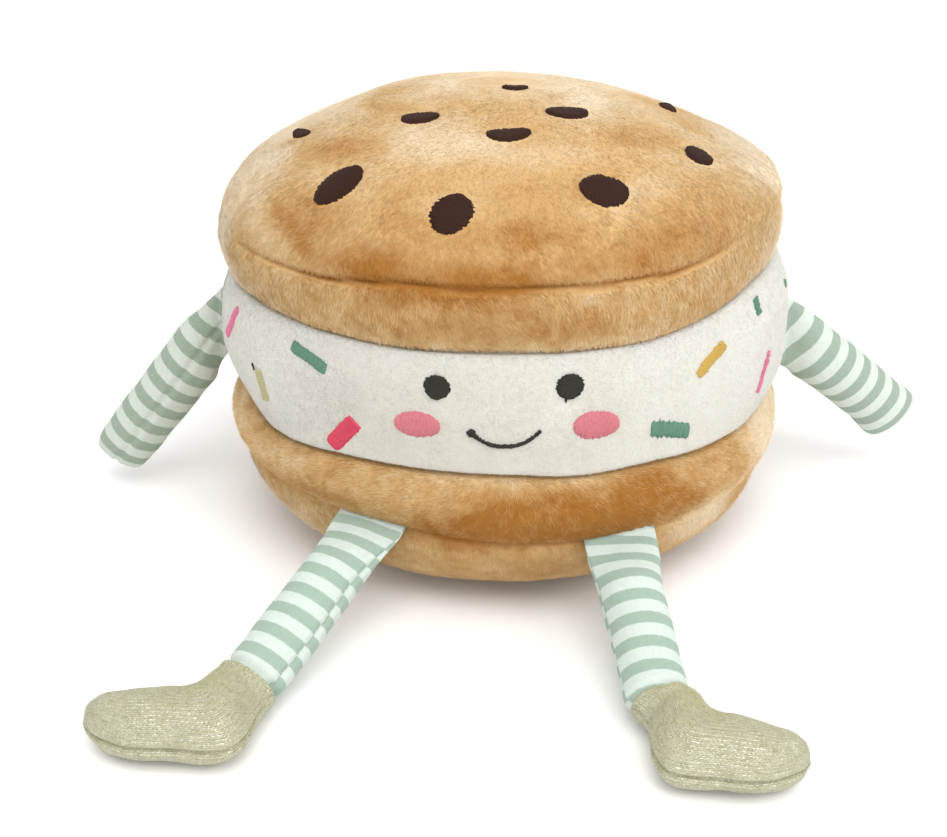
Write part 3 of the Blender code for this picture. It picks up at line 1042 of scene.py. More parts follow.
def spread_out(grid: Array, passes: int) -> Array:
    """Returns a grid whose values are averaged with their neighbours' a number of times."""
    for _ in range(passes):
        grid = (np.roll(grid, 1, axis=1) + 2 * grid + np.roll(grid, -1, axis=1)) / 4
        padded = np.concatenate([grid[:1], grid, grid[-1:]])
        grid = (padded[:-2] + 2 * grid + padded[2:]) / 4
    return grid


@dataclass(frozen=True)
class Stuffing:
    """The push of the stuffing on a cloth, found by a cloth simulation of a coarse copy of it.

    Attributes:
        rows: how many rows the coarse copy has.
        columns: how many points go round it.
        slack: how much more cloth there is than fits its place without wrinkling.
        limit: the farthest that a point may move, in metres.
        mass: the mass of each of its points. Light cloth follows the stuffing farther.
        pressure: the stuffing's push.
        stretch: the cloth's stiffness against stretching and squeezing.
        shear: its stiffness against slanting.
        bend: its stiffness against bending.
        frames: how long the simulation runs.
    """

    rows: int
    columns: int
    slack: float = 0.03
    limit: float = 0.5 * MM
    mass: float = 0.03
    pressure: float = 4.0
    stretch: float = 12.0
    shear: float = 6.0
    bend: float = 0.4
    frames: int = 20

    def fill(self, cloth: Cloth, held: Sequence[float]) -> None:
        """Lets the stuffing push a cloth out between the rows that are sewn down.

        Args:
            cloth: the cloth, which is moved.
            held: fractional rows that stay in place, besides the first and the last.
        """
        row = np.linspace(0, cloth.rows - 1, self.rows)
        pinned = {0, self.rows - 1}
        for wanted in held:
            nearest = int(np.argmin(np.abs(row - wanted)))
            row[nearest] = wanted
            pinned.add(nearest)
        column = np.arange(self.columns) / self.columns * cloth.columns
        rows, columns = np.meshgrid(row, column, indexing="ij")
        start = cloth.read(cloth.points, rows, columns)
        settled = self._simulate(start, cloth.turns, sorted(pinned))
        move = settled - start
        far = np.linalg.norm(move, axis=-1, keepdims=True)
        move = move * np.tanh(far / self.limit) * self.limit / np.maximum(far, 1e-9)
        LOG.info("stuffing moved a cloth by up to %.2f mm", float(np.linalg.norm(move, axis=-1).max()) / MM)
        coarse_row = np.interp(np.arange(cloth.rows), row, np.arange(self.rows))
        coarse_column = np.arange(cloth.columns) / cloth.columns * self.columns
        rows, columns = np.meshgrid(coarse_row, coarse_column, indexing="ij")
        coarse = Cloth(start, start.mean(axis=1))
        cloth.points = cloth.points + spread_out(coarse.read(move, rows, columns), 3)

    def _simulate(self, start: Array, flipped: bool, pinned: Sequence[int]) -> Array:
        """Runs the simulation and returns where the points settle."""
        rows, columns = start.shape[:2]
        material = bpy.data.materials.new("stuffing_trial")
        faces = [grid_faces(rows, columns, True, flipped)]
        trial = mesh_piece("stuffing_trial", start.reshape(-1, 3), faces, material)
        trial.shape_key_add(name="Basis")
        ample = trial.shape_key_add(name="ample")
        middle = start.reshape(-1, 3).mean(axis=0)
        loose = middle + (start - middle) * (1 + self.slack)
        ample.data.foreach_set("co", loose.astype(np.float32).ravel())
        sewn = trial.vertex_groups.new(name="sewn")
        sewn.add([r * columns + c for r in pinned for c in range(columns)], 1.0, "REPLACE")
        cloth = trial.modifiers.new("stuffing", "CLOTH")
        settings = cloth.settings
        settings.quality = 5
        settings.mass = self.mass
        settings.tension_stiffness = settings.compression_stiffness = self.stretch
        settings.shear_stiffness = self.shear
        settings.bending_stiffness = self.bend
        settings.use_pressure = True
        settings.uniform_pressure_force = self.pressure
        settings.vertex_group_mass = sewn.name
        settings.rest_shape_key = ample
        settings.effector_weights.gravity = 0
        cloth.collision_settings.use_collision = False
        cloth.point_cache.frame_end = self.frames
        for frame in range(1, self.frames + 1):
            bpy.context.scene.frame_set(frame)
        shown = trial.evaluated_get(bpy.context.evaluated_depsgraph_get())
        settled = np.empty(rows * columns * 3, np.float32)
        shown.data.vertices.foreach_get("co", settled)
        bpy.data.objects.remove(trial)
        bpy.context.scene.frame_set(1)
        return settled.reshape(start.shape).astype(float)


@dataclass(frozen=True)
class Pile:
    """How the fibres of a plush stand. Lengths are in metres and angles in degrees."""

    blades: int
    length: float
    width: float
    lift: float
    stray: float
    swirl: float
    swirl_size: float = 24 * MM


class Fibres:
    """The pile of a plush cloth as one mesh of thin blades, one triangle each.

    At each point of the cloth, keep says how densely they grow, tall how long they are, lift how far they
    stand up in degrees, rough how uneven their colour is, and comb which way they lie.
    """

    SMOOTH_SHADING = 0.86
    TUFT_SIZES = (3.5 * MM, 1.6 * MM)
    TUFT_LEAN = 1.3
    LONE_LEAN = 0.6
    LIFT_SPREAD = 0.4
    LENGTHS = (0.7, 1.2)
    SUNK = 0.1 * MM
    TUFT_TINT = 0.30
    LONE_TINT = 0.13

    def __init__(self, cloth: TurnedCloth, pile: Pile, seed: int) -> None:
        """Prepares the pile.

        Args:
            cloth: the cloth that it stands on.
            pile: how it stands.
            seed: chooses the fibres' places.
        """
        self.cloth, self.pile = cloth, pile
        self.random = np.random.default_rng(seed)
        self.seed = seed
        self.keep, self.tall, self.rough = (np.ones(cloth.points.shape[:2]) for _ in range(3))
        self.lift = np.full(cloth.points.shape[:2], pile.lift)
        self.comb = np.broadcast_to(DOWNWARD, cloth.points.shape)

    def _roots(self) -> tuple[Array, Array]:
        """Returns the fractional rows and columns of the roots, spread evenly by area."""
        points = self.cloth.points
        down = np.linalg.norm(np.diff(points, axis=0), axis=-1)
        round_ = np.linalg.norm(np.roll(points, -1, axis=1) - points, axis=-1)[:-1]
        weight = (down * round_ * self.keep[:-1]).ravel()
        picked = np.searchsorted(np.cumsum(weight) / weight.sum(), self.random.random(self.pile.blades))
        row, column = np.divmod(np.minimum(picked, weight.size - 1), self.cloth.columns)
        return row + self.random.random(len(row)), column + self.random.random(len(row))

    def piece(self, name: str, finish: Material, brushed: Array, covered: Callable) -> Piece:
        """Makes the mesh.

        Args:
            name: the piece's name.
            finish: the fibres' material.
            brushed: for each point of the cloth, how far its nap lies the other way, with painted shade and
                highlight.
            covered: tells for rows and columns whether an embroidery covers them.

        Returns:
            The object.
        """
        cloth, pile = self.cloth, self.pile
        row, column = self._roots()
        free = ~covered(row, column)
        row, column = row[free], column[free]
        count = len(row)
        root = cloth.read(cloth.points, row, column)
        out = unit(cloth.read(cloth.normals, row, column))
        comb = cloth.read(self.comb, row, column)
        comb = unit(comb - np.sum(out * comb, axis=1, keepdims=True) * out)
        side = np.cross(out, comb)
        wide, narrow = self.TUFT_SIZES
        tuft = Noise(self.seed + 7).at(root, wide) + 0.6 * Noise(self.seed + 8).at(root, narrow)
        swirl = Noise(self.seed + 9).at(root, pile.swirl_size) * pile.swirl
        swirl = swirl + tuft * self.TUFT_LEAN * pile.stray
        swirl = swirl + self.random.normal(0, self.LONE_LEAN * pile.stray, count)
        swirl = np.radians(swirl)[:, None]
        lie = comb * np.cos(swirl) + side * np.sin(swirl)
        spread = np.clip(1 + self.LIFT_SPREAD * self.random.normal(0, 1, count), 0.2, 2)
        lift = np.radians(cloth.read(self.lift, row, column) * spread)[:, None]
        reach = lie * np.cos(lift) + out * np.sin(lift)
        breadth = unit(np.cross(out, lie)) * (pile.width / 2)
        tall = cloth.read(self.tall, row, column)
        length = (pile.length * tall * self.random.uniform(*self.LENGTHS, count))[:, None]
        sunk = root - out * self.SUNK
        corners = np.stack([sunk - breadth, sunk + breadth, root + reach * length], axis=1)
        facing = unit(np.cross(corners[:, 1] - corners[:, 0], corners[:, 2] - corners[:, 0]))
        away = np.sum(facing * out, axis=1) < 0
        corners[away] = corners[away][:, [1, 0, 2]]
        facing[away] *= -1
        blade = mesh_piece(name, corners.reshape(-1, 3), [np.arange(count * 3).reshape(-1, 3)], finish)
        normal = np.repeat(unit(out * self.SMOOTH_SHADING + facing * (1 - self.SMOOTH_SHADING)), 3, axis=0)
        blade.data.normals_split_custom_set_from_vertices(normal)
        soft = blade.data.attributes.new("soft_normal", "FLOAT_VECTOR", "POINT")
        soft.data.foreach_set("vector", normal.astype(np.float32).ravel())
        rough = cloth.read(self.rough, row, column)
        tint = self.TUFT_TINT * tuft + self.LONE_TINT * self.random.normal(0, 1, count)
        strand = np.clip(0.5 + rough * tint, 0, 1)
        set_attribute(blade, "tip", np.tile([0.0, 0.0, 1.0], count))
        set_attribute(blade, "strand", np.repeat(strand, 3))
        # The fibres carry the nap-and-shade value, with its painted shade and highlight.
        set_attribute(blade, "brushed", np.repeat(cloth.read(brushed, row, column), 3))
        return blade


class Embroidery:
    """Satin-stitched motifs on a cloth, each made of raised threads laid side by side.

    Motifs where the cloth's radius is less than POLE are laid out on a flat disc, the others on a band.
    """

    POLE = 20 * MM
    PITCH = 0.42 * MM
    LOFT = 0.55 * MM
    SAMPLES = 7
    ARC = 5
    OVAL_POWER = 2.1
    SMILE_POWER = 2.2
    SMILE_DEPTH = 5.4 * MM
    SMILE_DENSITY = 1.35
    BAR_LOFT = 0.55
    GROUND = 0.30 * MM
    SHOULDER = 1.6 * MM
    THREAD_RADIUS = 0.56
    SKIRT = 0.25 * MM
    SUNK_ENDS = 0.5 * MM

    def __init__(self, cloth: TurnedCloth, motifs: Sequence[Motif], seed: int) -> None:
        """Keeps the cloth and the motifs.

        Args:
            cloth: what they are sewn to.
            motifs: the motifs.
            seed: chooses the threads' small unevenness.
        """
        self.cloth, self.motifs = cloth, motifs
        self.random = np.random.default_rng(seed)

    def _on_disc(self, motif: Motif) -> bool:
        """Returns whether a motif is laid out on a flat disc."""
        return float(np.interp(motif.down * MM, self.cloth.down, self.cloth.profile[:, 0])) < self.POLE

    def _places(self, motif: Motif, east: Array, north: Array) -> tuple[Array, Array]:
        """Returns the rows and columns of places east and north of a motif's middle, in metres."""
        down, facing = motif.down * MM, math.radians(motif.azimuth) + math.pi
        if self._on_disc(motif):
            row = np.hypot(down - north, east) / self.cloth.step
            turn = facing + np.arctan2(east, down - north)
        else:
            row = motif.down / self.cloth.step * MM - north / self.cloth.step
            turn = facing + east / np.maximum(self._radius(row), 4 * MM)
        return row, turn / math.tau * self.cloth.columns

    def _radius(self, row: Array) -> Array:
        """Returns the cloth's radius at fractional rows."""
        row = np.clip(row, 0, self.cloth.rows - 1)
        return np.interp(row, np.arange(self.cloth.rows), self.cloth.profile[:, 0])

    def _half_width(self, motif: Motif, share: Array) -> Array:
        """Returns half the motif's width, in metres, at a share of its half length from its middle."""
        half = motif.width * MM / 2
        if motif.outline is Outline.OVAL:
            power = self.OVAL_POWER
            return half * np.clip(1 - np.abs(share) ** power, 0.03, 1) ** (1 / power)
        if motif.outline is Outline.SMILE:
            return half * (1 + 1.25 * bump(share + 0.95, 0.13) - 0.25 * np.abs(share))
        return half * (1 - 0.16 * np.clip((np.abs(share) - 0.75) / 0.25, 0, 1) ** 2.5)

    def _spine(self, motif: Motif, share: Array) -> tuple[Array, Array]:
        """Returns how far a motif's middle line is bowed up at a share of its half length, and its slope."""
        if motif.outline is not Outline.SMILE:
            return np.zeros_like(share), np.zeros_like(share)
        depth, power, half = self.SMILE_DEPTH, self.SMILE_POWER, motif.length * MM / 2
        slope = power * depth * np.abs(share) ** (power - 1) * np.sign(share) / half
        return depth * np.abs(share) ** power, slope

    def _threads(self, motif: Motif) -> tuple[Array, Array]:
        """Returns the points and quads of a motif's threads."""
        half = motif.length * MM / 2
        density = self.SMILE_DENSITY if motif.outline is Outline.SMILE else 1
        count = int(motif.length * MM / self.PITCH * density)
        share = (np.arange(count) + 0.5) / count * 2 - 1
        reach = self._half_width(motif, share) * (1 + self.random.normal(0, 0.035, count))
        reach = reach + self.random.normal(0, motif.ragged * MM, count)
        bow, slope = self._spine(motif, share)
        lean = np.arctan(slope) + math.radians(motif.slant)
        t = np.linspace(-1, 1, self.SAMPLES)
        across = t[None, :] * reach[:, None] + self.random.normal(0, 0.06 * MM, (count, 1))
        along = share[:, None] * half - np.sin(lean)[:, None] * across
        up = bow[:, None] + np.cos(lean)[:, None] * across
        turn = math.radians(motif.tilt)
        east = along * math.cos(turn) - up * math.sin(turn)
        north = along * math.sin(turn) + up * math.cos(turn)
        row, column = self._places(motif, east, north)
        middle = self.cloth.read(self.cloth.points, row, column)
        out = unit(self.cloth.read(self.cloth.normals, row, column))
        run = unit(np.gradient(middle, axis=1))
        side = unit(np.cross(run, out))
        loft = self.LOFT * (self.BAR_LOFT if motif.outline is Outline.BAR else 1.0)
        round_ends = np.sqrt(np.clip(1 - t ** 2, 0, 1))
        full = loft * np.minimum(1.0, np.abs(reach) / self.SHOULDER)[:, None] * round_ends
        lift = self.GROUND + full + self.random.normal(0, 0.03 * MM, (count, 1))
        arc = np.linspace(0, math.pi, self.ARC)
        radius = self.PITCH * self.THREAD_RADIUS
        ring = np.cos(arc)[:, None] * side[..., None, :] + np.sin(arc)[:, None] * out[..., None, :]
        points = middle[..., None, :] + lift[..., None, None] * out[..., None, :] + radius * ring
        skirts = points[..., [0, -1], :] - (lift[..., None, None] + self.SKIRT) * out[..., None, :]
        points = np.concatenate([skirts[..., :1, :], points, skirts[..., 1:, :]], axis=-2)
        ends = [0, -1]
        points[:, ends] -= out[:, ends, None, :] * self.SUNK_ENDS
        base = (np.arange(count) * self.SAMPLES * (self.ARC + 2))[:, None]
        quads = grid_faces(self.SAMPLES, self.ARC + 2, False, flipped=True)
        faces = (base[..., None] + quads[None]).reshape(-1, 4)
        return points.reshape(-1, 3), faces

    def _local(self, motif: Motif, row: Array, column: Array) -> tuple[Array, Array, Array]:
        """Returns each place's share along a motif, its distance off the spine, and that from the middle."""
        radius = self._radius(row)
        turn = (column / self.cloth.columns * math.tau - math.radians(motif.azimuth)) % math.tau - math.pi
        east, north = turn * radius, motif.down * MM - row * self.cloth.step
        if self._on_disc(motif):
            out = row * self.cloth.step
            east, north = out * np.sin(turn), motif.down * MM - out * np.cos(turn)
        tilt = math.radians(motif.tilt)
        along = east * math.cos(tilt) + north * math.sin(tilt)
        across = north * math.cos(tilt) - east * math.sin(tilt)
        share = (along + math.tan(math.radians(motif.slant)) * across) / (motif.length * MM / 2)
        bow, _ = self._spine(motif, np.clip(share, -1, 1))
        return share, across - bow, np.hypot(along, across)

    def covers(self, row: Array, column: Array) -> Array:
        """Returns whether each place, a fractional row and column, lies under a motif."""
        found = np.zeros(row.shape, bool)
        for motif in self.motifs:
            share, across, _ = self._local(motif, row, column)
            inside = np.abs(across) < self._half_width(motif, np.clip(share, -1, 1)) + 0.15 * MM
            found |= (np.abs(share) < 1 + 0.3 / motif.length) & inside
        return found

    def dimple(self) -> Array:
        """Returns how far each point of the cloth is drawn in by the stitching round it, in metres."""
        row, column = np.meshgrid(np.arange(self.cloth.rows), np.arange(self.cloth.columns), indexing="ij")
        relief = np.zeros(row.shape)
        for motif in self.motifs:
            share, across, distance = self._local(motif, row.astype(float), column.astype(float))
            wide = max(motif.width, 4) * MM
            oval = np.hypot(share * motif.length / 2, across / MM) * MM
            relief -= min(0.55, 0.12 * motif.width) * MM * bump(oval, wide * 0.85) * (distance < 40 * MM)
        return relief

    def pieces(self, name: str, slot: str, effects: Effects) -> None:
        """Makes one piece for each thread colour."""
        for thread in Thread:
            group = [self._threads(motif) for motif in self.motifs if motif.thread is thread]
            if not group:
                continue
            starts = np.cumsum([0] + [len(points) for points, _ in group])
            points = np.concatenate([points for points, _ in group])
            faces = np.concatenate([faces + start for (_, faces), start in zip(group, starts)])
            finish = thread_material(thread, effects)
            fitted(mesh_piece(f"{name}_{thread.name.lower()}", points, [faces], finish), ())


@dataclass
class Panel:
    """A plush panel of the round body: what its three kinds share."""

    plan: BodyPlan
    name: str = field(init=False, default="panel")
    slot: str = field(init=False, default="cookie_plush")

    def dress(
        self, cloth: TurnedCloth, finish: PlushFinish, fibres: Fibres, brushed: Array,
        embroidery: Embroidery | None, effects: Effects,
    ) -> None:
        """Makes the pieces of a finished cloth: the cloth, its pile and its embroidery.

        Args:
            cloth: the cloth in its final shape.
            finish: its finish.
            fibres: its pile, combed and thinned out.
            brushed: how far the nap lies the other way at each point, with painted shade and highlight.
            embroidery: what is stitched on it, if anything.
            effects: the shared shader groups.
        """
        base = cloth.piece(self.name + "_cloth", finish.backing(effects))
        # The cloth carries the nap-and-shade value too, with its painted shade and highlight.
        set_attribute(base, "brushed", with_ends(brushed))
        fitted(base, (self.name,))
        covered = embroidery.covers if embroidery else (lambda row, column: np.zeros(row.shape, bool))
        pile = fibres.piece(self.name + "_pile", finish.fibres(effects), brushed, covered)
        fitted(pile, ())
        if embroidery:
            embroidery.pieces(self.name, self.slot, effects)


@dataclass
class CookieTop(Panel):
    """The upper cookie: a plush dome, a seam round its rim and a band below it.

    Its first rows are laid flat, so that the pole is smooth. The tables rough and lift are distances down
    the cloth, in millimetres, and how uneven the pile's colour is there and how far it stands up.
    """

    name: str = field(init=False, default="cookie_top")
    rows: int = 104
    columns: int = 360
    shrink: float = 0.8 * MM
    band_bulge: float = 2.4 * MM
    flat_rows: int = 4
    rough: Rows = ((0, 0.5), (50, 0.8), (90, 0.95))
    lift: Rows = ((0, 4), (70, 5), (100, 10), (112, 17))
    pile: Pile = Pile(190_000, 1.9 * MM, 0.30 * MM, 15, 15, 34)
    stuffing: Stuffing = Stuffing(34, 110)
    wander: Rows = (
        (-95, 0), (-70, -1.6), (-57, 1.0), (-43, 0.7), (-36, 1.2), (-27, -0.3), (-17.5, -1.8), (-8.5, -1.0),
        (0, -1.3), (8.5, -1.8), (16, -1.0), (23.5, -1.8), (34.5, -0.6), (45, -1.2), (59, -1.6), (80, 0),
        (130, 1.0), (180, -0.8),
    )
    folds: tuple[Fold, ...] = tuple(Fold(*row) for row in (
        (-66, 97, 62, 16, 3.0, -0.8), (-58, 100, 55, 14, 3.5, 0.6), (70, 96, -60, 16, 2.2, -0.7),
        (76, 97, -64, 16, 2.2, 0.6), (82, 97, -68, 16, 2.2, -0.7), (88, 98, -72, 14, 2.4, 0.5),
        (24, 88, 55, 13, 2.6, 0.9), (20, 90, 55, 13, 2.6, -0.6), (-28, 112, 80, 8, 4.0, -0.5),
        (150, 97, 60, 14, 3.0, -0.8), (-140, 96, -55, 14, 3.2, -0.8), (84, 93, 23, 28, 1.9, -0.9),
        (87, 90, 23, 26, 2.2, 0.6), (81, 97, 23, 24, 2.0, 0.5), (-98, 90, -42, 20, 1.9, -0.9),
        (-93, 88, -42, 18, 2.4, 0.6), (-128, 70, 0, 56, 24, -2.2), (124, 70, 0, 50, 24, -1.7),
    ))
    # Patches of the nap-and-shade map. Besides where the nap lies the other way, they paint shade with a
    # positive strength and highlight with a negative one, such as the paler sides and back.
    patches: tuple[Brushed, ...] = tuple(Brushed(*row) for row in (
        (-13, 105, 34, 6.5, 0.36), (-30, 100, 14, 6, 0.12, -12), (8, 102, 30, 8, 0.22, 4),
        (19, 99, 16, 7, 0.14), (-23, 84, 9, 8, 0.16), (40, 99, 20, 6, 0.10), (-50, 67, 14, 8, 0.30, 30),
        (-45, 98, 12, 3, 0.24, -20), (-53, 88, 9, 5, 0.04), (-2, 30, 20, 6, 0.08), (0, 6, 22, 12, 0.18),
        (-43, 92, 16, 7, 0.24), (-4, 92, 26, 5, 0.22), (5, 81, 14, 7, 0.10), (41, 88, 16, 8, 0.12),
        (47, 59, 15, 8, 0.32, -20), (40, 32, 14, 8, -0.14), (74, 67, 10, 7, 0.12), (11, 74, 24, 10, 0.12),
        (-76, 40, 16, 8, 0.24), (30, 90, 14, 6, 0.10), (-22, 54, 20, 12, -0.24), (12, 62, 16, 8, -0.14),
        (-15, 82, 10, 4, -0.16), (24, 84, 10, 3.5, -0.14, 55), (32, 78, 8, 6, -0.14),
        (50, 64, 14, 9, -0.16), (-80, 82, 20, 9, -0.14), (-84, 96, 34, 20, -0.30),
        (-100, 62, 34, 24, -0.34), (-52, 96, 12, 9, -0.14), (86, 90, 34, 22, -0.42), (36, 102, 18, 8, 0.16),
        (7, 90, 14, 7, 0.16), (180, 22, 64, 38, -0.32), (60, 42, 30, 18, -0.16), (180, 76, 60, 22, -0.20),
        (-2, 117, 44, 7, 0.20), (34, 119, 16, 6, 0.06), (16, 125, 30, 4, -0.10), (-80, 119, 30, 12, -0.50),
        (74, 119, 26, 12, -0.40), (150, 118, 46, 8, 0.15), (140, 84, 40, 12, 0.30),
        (-150, 80, 34, 12, 0.26),
    ))
    chips: tuple[Motif, ...] = tuple(Motif(Thread.COCOA, Outline.OVAL, *row, ragged=0.14) for row in (
        (-40.8, 80.5, 17.2, 12.8, 73), (-12.0, 85.0, 13.9, 12.4, 78), (21.2, 77.5, 14.5, 13.0, -16),
        (1.2, 47.4, 13.6, 8.2, 7), (34.0, 36.1, 13.3, 9.4, -22), (32.0, 9.0, 8.6, 4.8, -34),
        (56.2, 73.2, 9.2, 10.8, -74), (91.5, 56.4, 10.6, 6.4, -11), (-38.5, 42.1, 12.1, 8.0, 33),
        (-77.2, 70.0, 12.2, 5.4, 16), (118, 92, 14.5, 11.5, 60), (143, 86, 13.0, 10.5, -25),
        (168, 94, 14.0, 11.0, 10), (-166, 85, 15.0, 11.5, 20), (-141, 95, 12.5, 10.0, 40),
        (-117, 88, 13.5, 11.0, -60),
    ))

    def build(self, effects: Effects) -> None:
        """Makes the cloth, its pile and its chocolate chips, stitched in satin."""
        plan, shrink = self.plan, self.shrink
        rise = plan.height - plan.rim_height
        rim_place = (plan.rim_radius - shrink, plan.rim_height)
        dome = dome_profile(*rim_place, rise + 0.4 * MM, plan.dome_power)
        end = (plan.cream_top_radius - shrink, plan.cream_top)
        band = band_profile(rim_place, end, self.band_bulge)
        cloth = TurnedCloth(np.concatenate([dome, band[1:]]), self.rows, self.columns, plan.upper_shape)
        fade = (
            (-125, 0.5), (-110, 0.15), (-62, 0.12), (-50, 0.35), (-38, 0.8), (-24, 1.0), (24, 1.0),
            (36, 0.7), (46, 0.3), (56, 0.08), (105, 0.08), (130, 0.6),
        )
        rim = Seam(cloth.down_of_height(plan.rim_height), 2.5 * MM, 0.95 * MM, self.wander, fade)
        edge = Seam(float(cloth.down[-1]) + 0.8 * MM, 1.3 * MM, 1.4 * MM)
        self.stuffing.fill(cloth, [rim.down / cloth.step])
        embroidery = Embroidery(cloth, self.chips, 5)
        cloth.push(body_relief(cloth, 1, (rim, edge)) + embroidery.dimple() + cloth.folds(self.folds))
        ring = cloth.points[self.flat_rows]
        middle = ring.mean(axis=0)
        inward = cloth.profile[:self.flat_rows, 0] / cloth.profile[self.flat_rows, 0]
        cloth.points[:self.flat_rows] = middle + inward[:, None, None] * (ring - middle)
        # The nap-and-shade map: the patches, plus painted shade along the rim seam.
        brushed = np.clip(cloth.brushed(self.patches, 0.46, 17) + cloth.parted_seam_shade(rim, 0.8 * MM, 0.8), 0, 1)
        fibres = Fibres(cloth, self.pile, 11)
        past, down = rim.distance(cloth), cloth.down / MM
        below = eased(past / (1.5 * MM))
        falling = eased((past + 9 * MM) / (10 * MM))[..., None]
        outward = cloth.points * np.array([1.0, 1.0, 0.0]) / (50 * MM) + np.array([-0.1, 0.3, 0.0])
        fibres.comb = outward * (1 - falling) + (DOWNWARD + 0.25 * cloth.round_vectors()) * falling
        fibres.tall = 1 - 0.55 * bump(past, 1.4 * MM) * rim.strength(cloth) + 0.12 * below
        fibres.rough = np.interp(down, *zip(*self.rough))[:, None] + 1.15 * below
        fibres.lift = np.interp(down, *zip(*self.lift))[:, None] * np.ones(self.columns)
        self.dress(cloth, COOKIE_PLUSH, fibres, brushed, embroidery, effects)


@dataclass
class IceCream(Panel):
    """The cream filling: a pale plush band with a stitched face and stitched sprinkles."""

    name: str = field(init=False, default="ice_cream")
    slot: str = field(init=False, default="cream_plush")
    rows: int = 56
    columns: int = 360
    shrink: float = 0.6 * MM
    bulge: float = 2.0 * MM
    pile: Pile = Pile(110_000, 1.05 * MM, 0.26 * MM, 11, 16, 40)
    stuffing: Stuffing = Stuffing(18, 110, slack=0.025)
    tuck: float = 5.0 * MM
    face: tuple[Motif, ...] = (
        Motif(Thread.CHARCOAL, Outline.OVAL, -12.1, 11.2, 7.4, 8.2, 80),
        Motif(Thread.CHARCOAL, Outline.OVAL, 12.0, 10.8, 7.9, 8.7, 90),
        Motif(Thread.CHARCOAL, Outline.BAR, 11.2, 15.1, 1.6, 0.9, 90),
        Motif(Thread.CHARCOAL, Outline.SMILE, 0.2, 29.6, 21.2, 1.35, 0),
        Motif(Thread.ROSE, Outline.OVAL, -15.8, 24.2, 14.2, 9.0, 3),
        Motif(Thread.ROSE, Outline.OVAL, 17.2, 24.4, 14.7, 9.4, -6),
    )
    sprinkles: tuple[Motif, ...] = tuple(Motif(row[0], Outline.BAR, *row[1:]) for row in (
        (Thread.GREEN, -39.0, 10.1, 14.6, 4.2, -16, 0.08),
        (Thread.RASPBERRY, -31.6, 32.6, 15.2, 6.0, 47, 0.08),
        (Thread.PINK, -66.0, 12.0, 13.6, 3.2, 58, 0.08),
        (Thread.OLIVE, -53.4, 25.8, 9.0, 4.4, -80, 0.08),
        (Thread.CHARCOAL, -55.6, 21.2, 2.2, 0.6, -62, 0.05),
        (Thread.HONEY, 43.0, 13.2, 12.8, 4.0, 31, 0.26, 10),
        (Thread.GREEN, 33.6, 31.2, 16.0, 5.4, -14, 0.22, 14),
        (Thread.GREEN, 57.2, 5.6, 4.2, 3.0, -84, 0.15),
        (Thread.PINK, 59.4, 24.7, 12.6, 2.0, 68, 0.24),
        (Thread.GREEN, 74.0, 8.0, 2.4, 1.3, 20, 0.12),
        (Thread.RASPBERRY, 122, 14, 15.5, 5.4, 30, 0.08),
        (Thread.GREEN, 146, 28, 16.0, 5.0, -35, 0.08),
        (Thread.HONEY, 176, 13, 15.5, 4.8, 15, 0.08),
        (Thread.PINK, -158, 29, 15.5, 5.0, 55, 0.08),
        (Thread.GREEN, -133, 13, 16.0, 5.0, -20, 0.08),
        (Thread.RASPBERRY, -112, 28, 15.0, 5.2, 20, 0.08),
    ))
    # Patches of the nap-and-shade map: painted shade over the front and the left front of the cream.
    patches: tuple[Brushed, ...] = tuple(Brushed(*row) for row in (
        (-8, 26, 52, 18, 0.42), (-36, 28, 22, 14, 0.16),
    ))

    def build(self, effects: Effects) -> None:
        """Makes the cloth with its hidden edges, its pile, and its face and sprinkles."""
        plan, tuck, shrink = self.plan, self.tuck, self.shrink
        top, base = plan.cream_top_radius - shrink, plan.cream_base_radius - shrink
        band = band_profile((top, plan.cream_top - 0.3 * MM), (base, plan.cream_base + 0.3 * MM), self.bulge)
        above = np.array([[top - tuck, plan.cream_top + 1.6 * MM]])
        below = np.array([[base - tuck, plan.cream_base - 1.6 * MM]])
        cloth = TurnedCloth(np.concatenate([above, band, below]), self.rows, self.columns, plan.tugged)
        first = cloth.down_of_height(plan.cream_top - 0.3 * MM)
        last = cloth.down_of_height(plan.cream_base + 0.3 * MM)
        self.stuffing.fill(cloth, [first / cloth.step, last / cloth.step])
        motifs = [replace(motif, down=motif.down + first / MM) for motif in self.face + self.sprinkles]
        embroidery = Embroidery(cloth, motifs, 8)
        seams = (Seam(first - 1.2 * MM, 0.9 * MM, 1.4 * MM), Seam(last + 1.0 * MM, 0.9 * MM, 1.4 * MM))
        cloth.push(body_relief(cloth, 2, seams, 0.55 * MM) + embroidery.dimple())
        brushed = cloth.brushed(self.patches, 0.30, 23)
        fibres = Fibres(cloth, self.pile, 12)
        shown = (cloth.down > first - 2.4 * MM) & (cloth.down < last + 1.6 * MM)
        fibres.keep = np.broadcast_to(shown[:, None].astype(float), brushed.shape)
        fibres.comb = DOWNWARD + 0.35 * cloth.round_vectors()
        self.dress(cloth, CREAM_PLUSH, fibres, brushed, embroidery, effects)


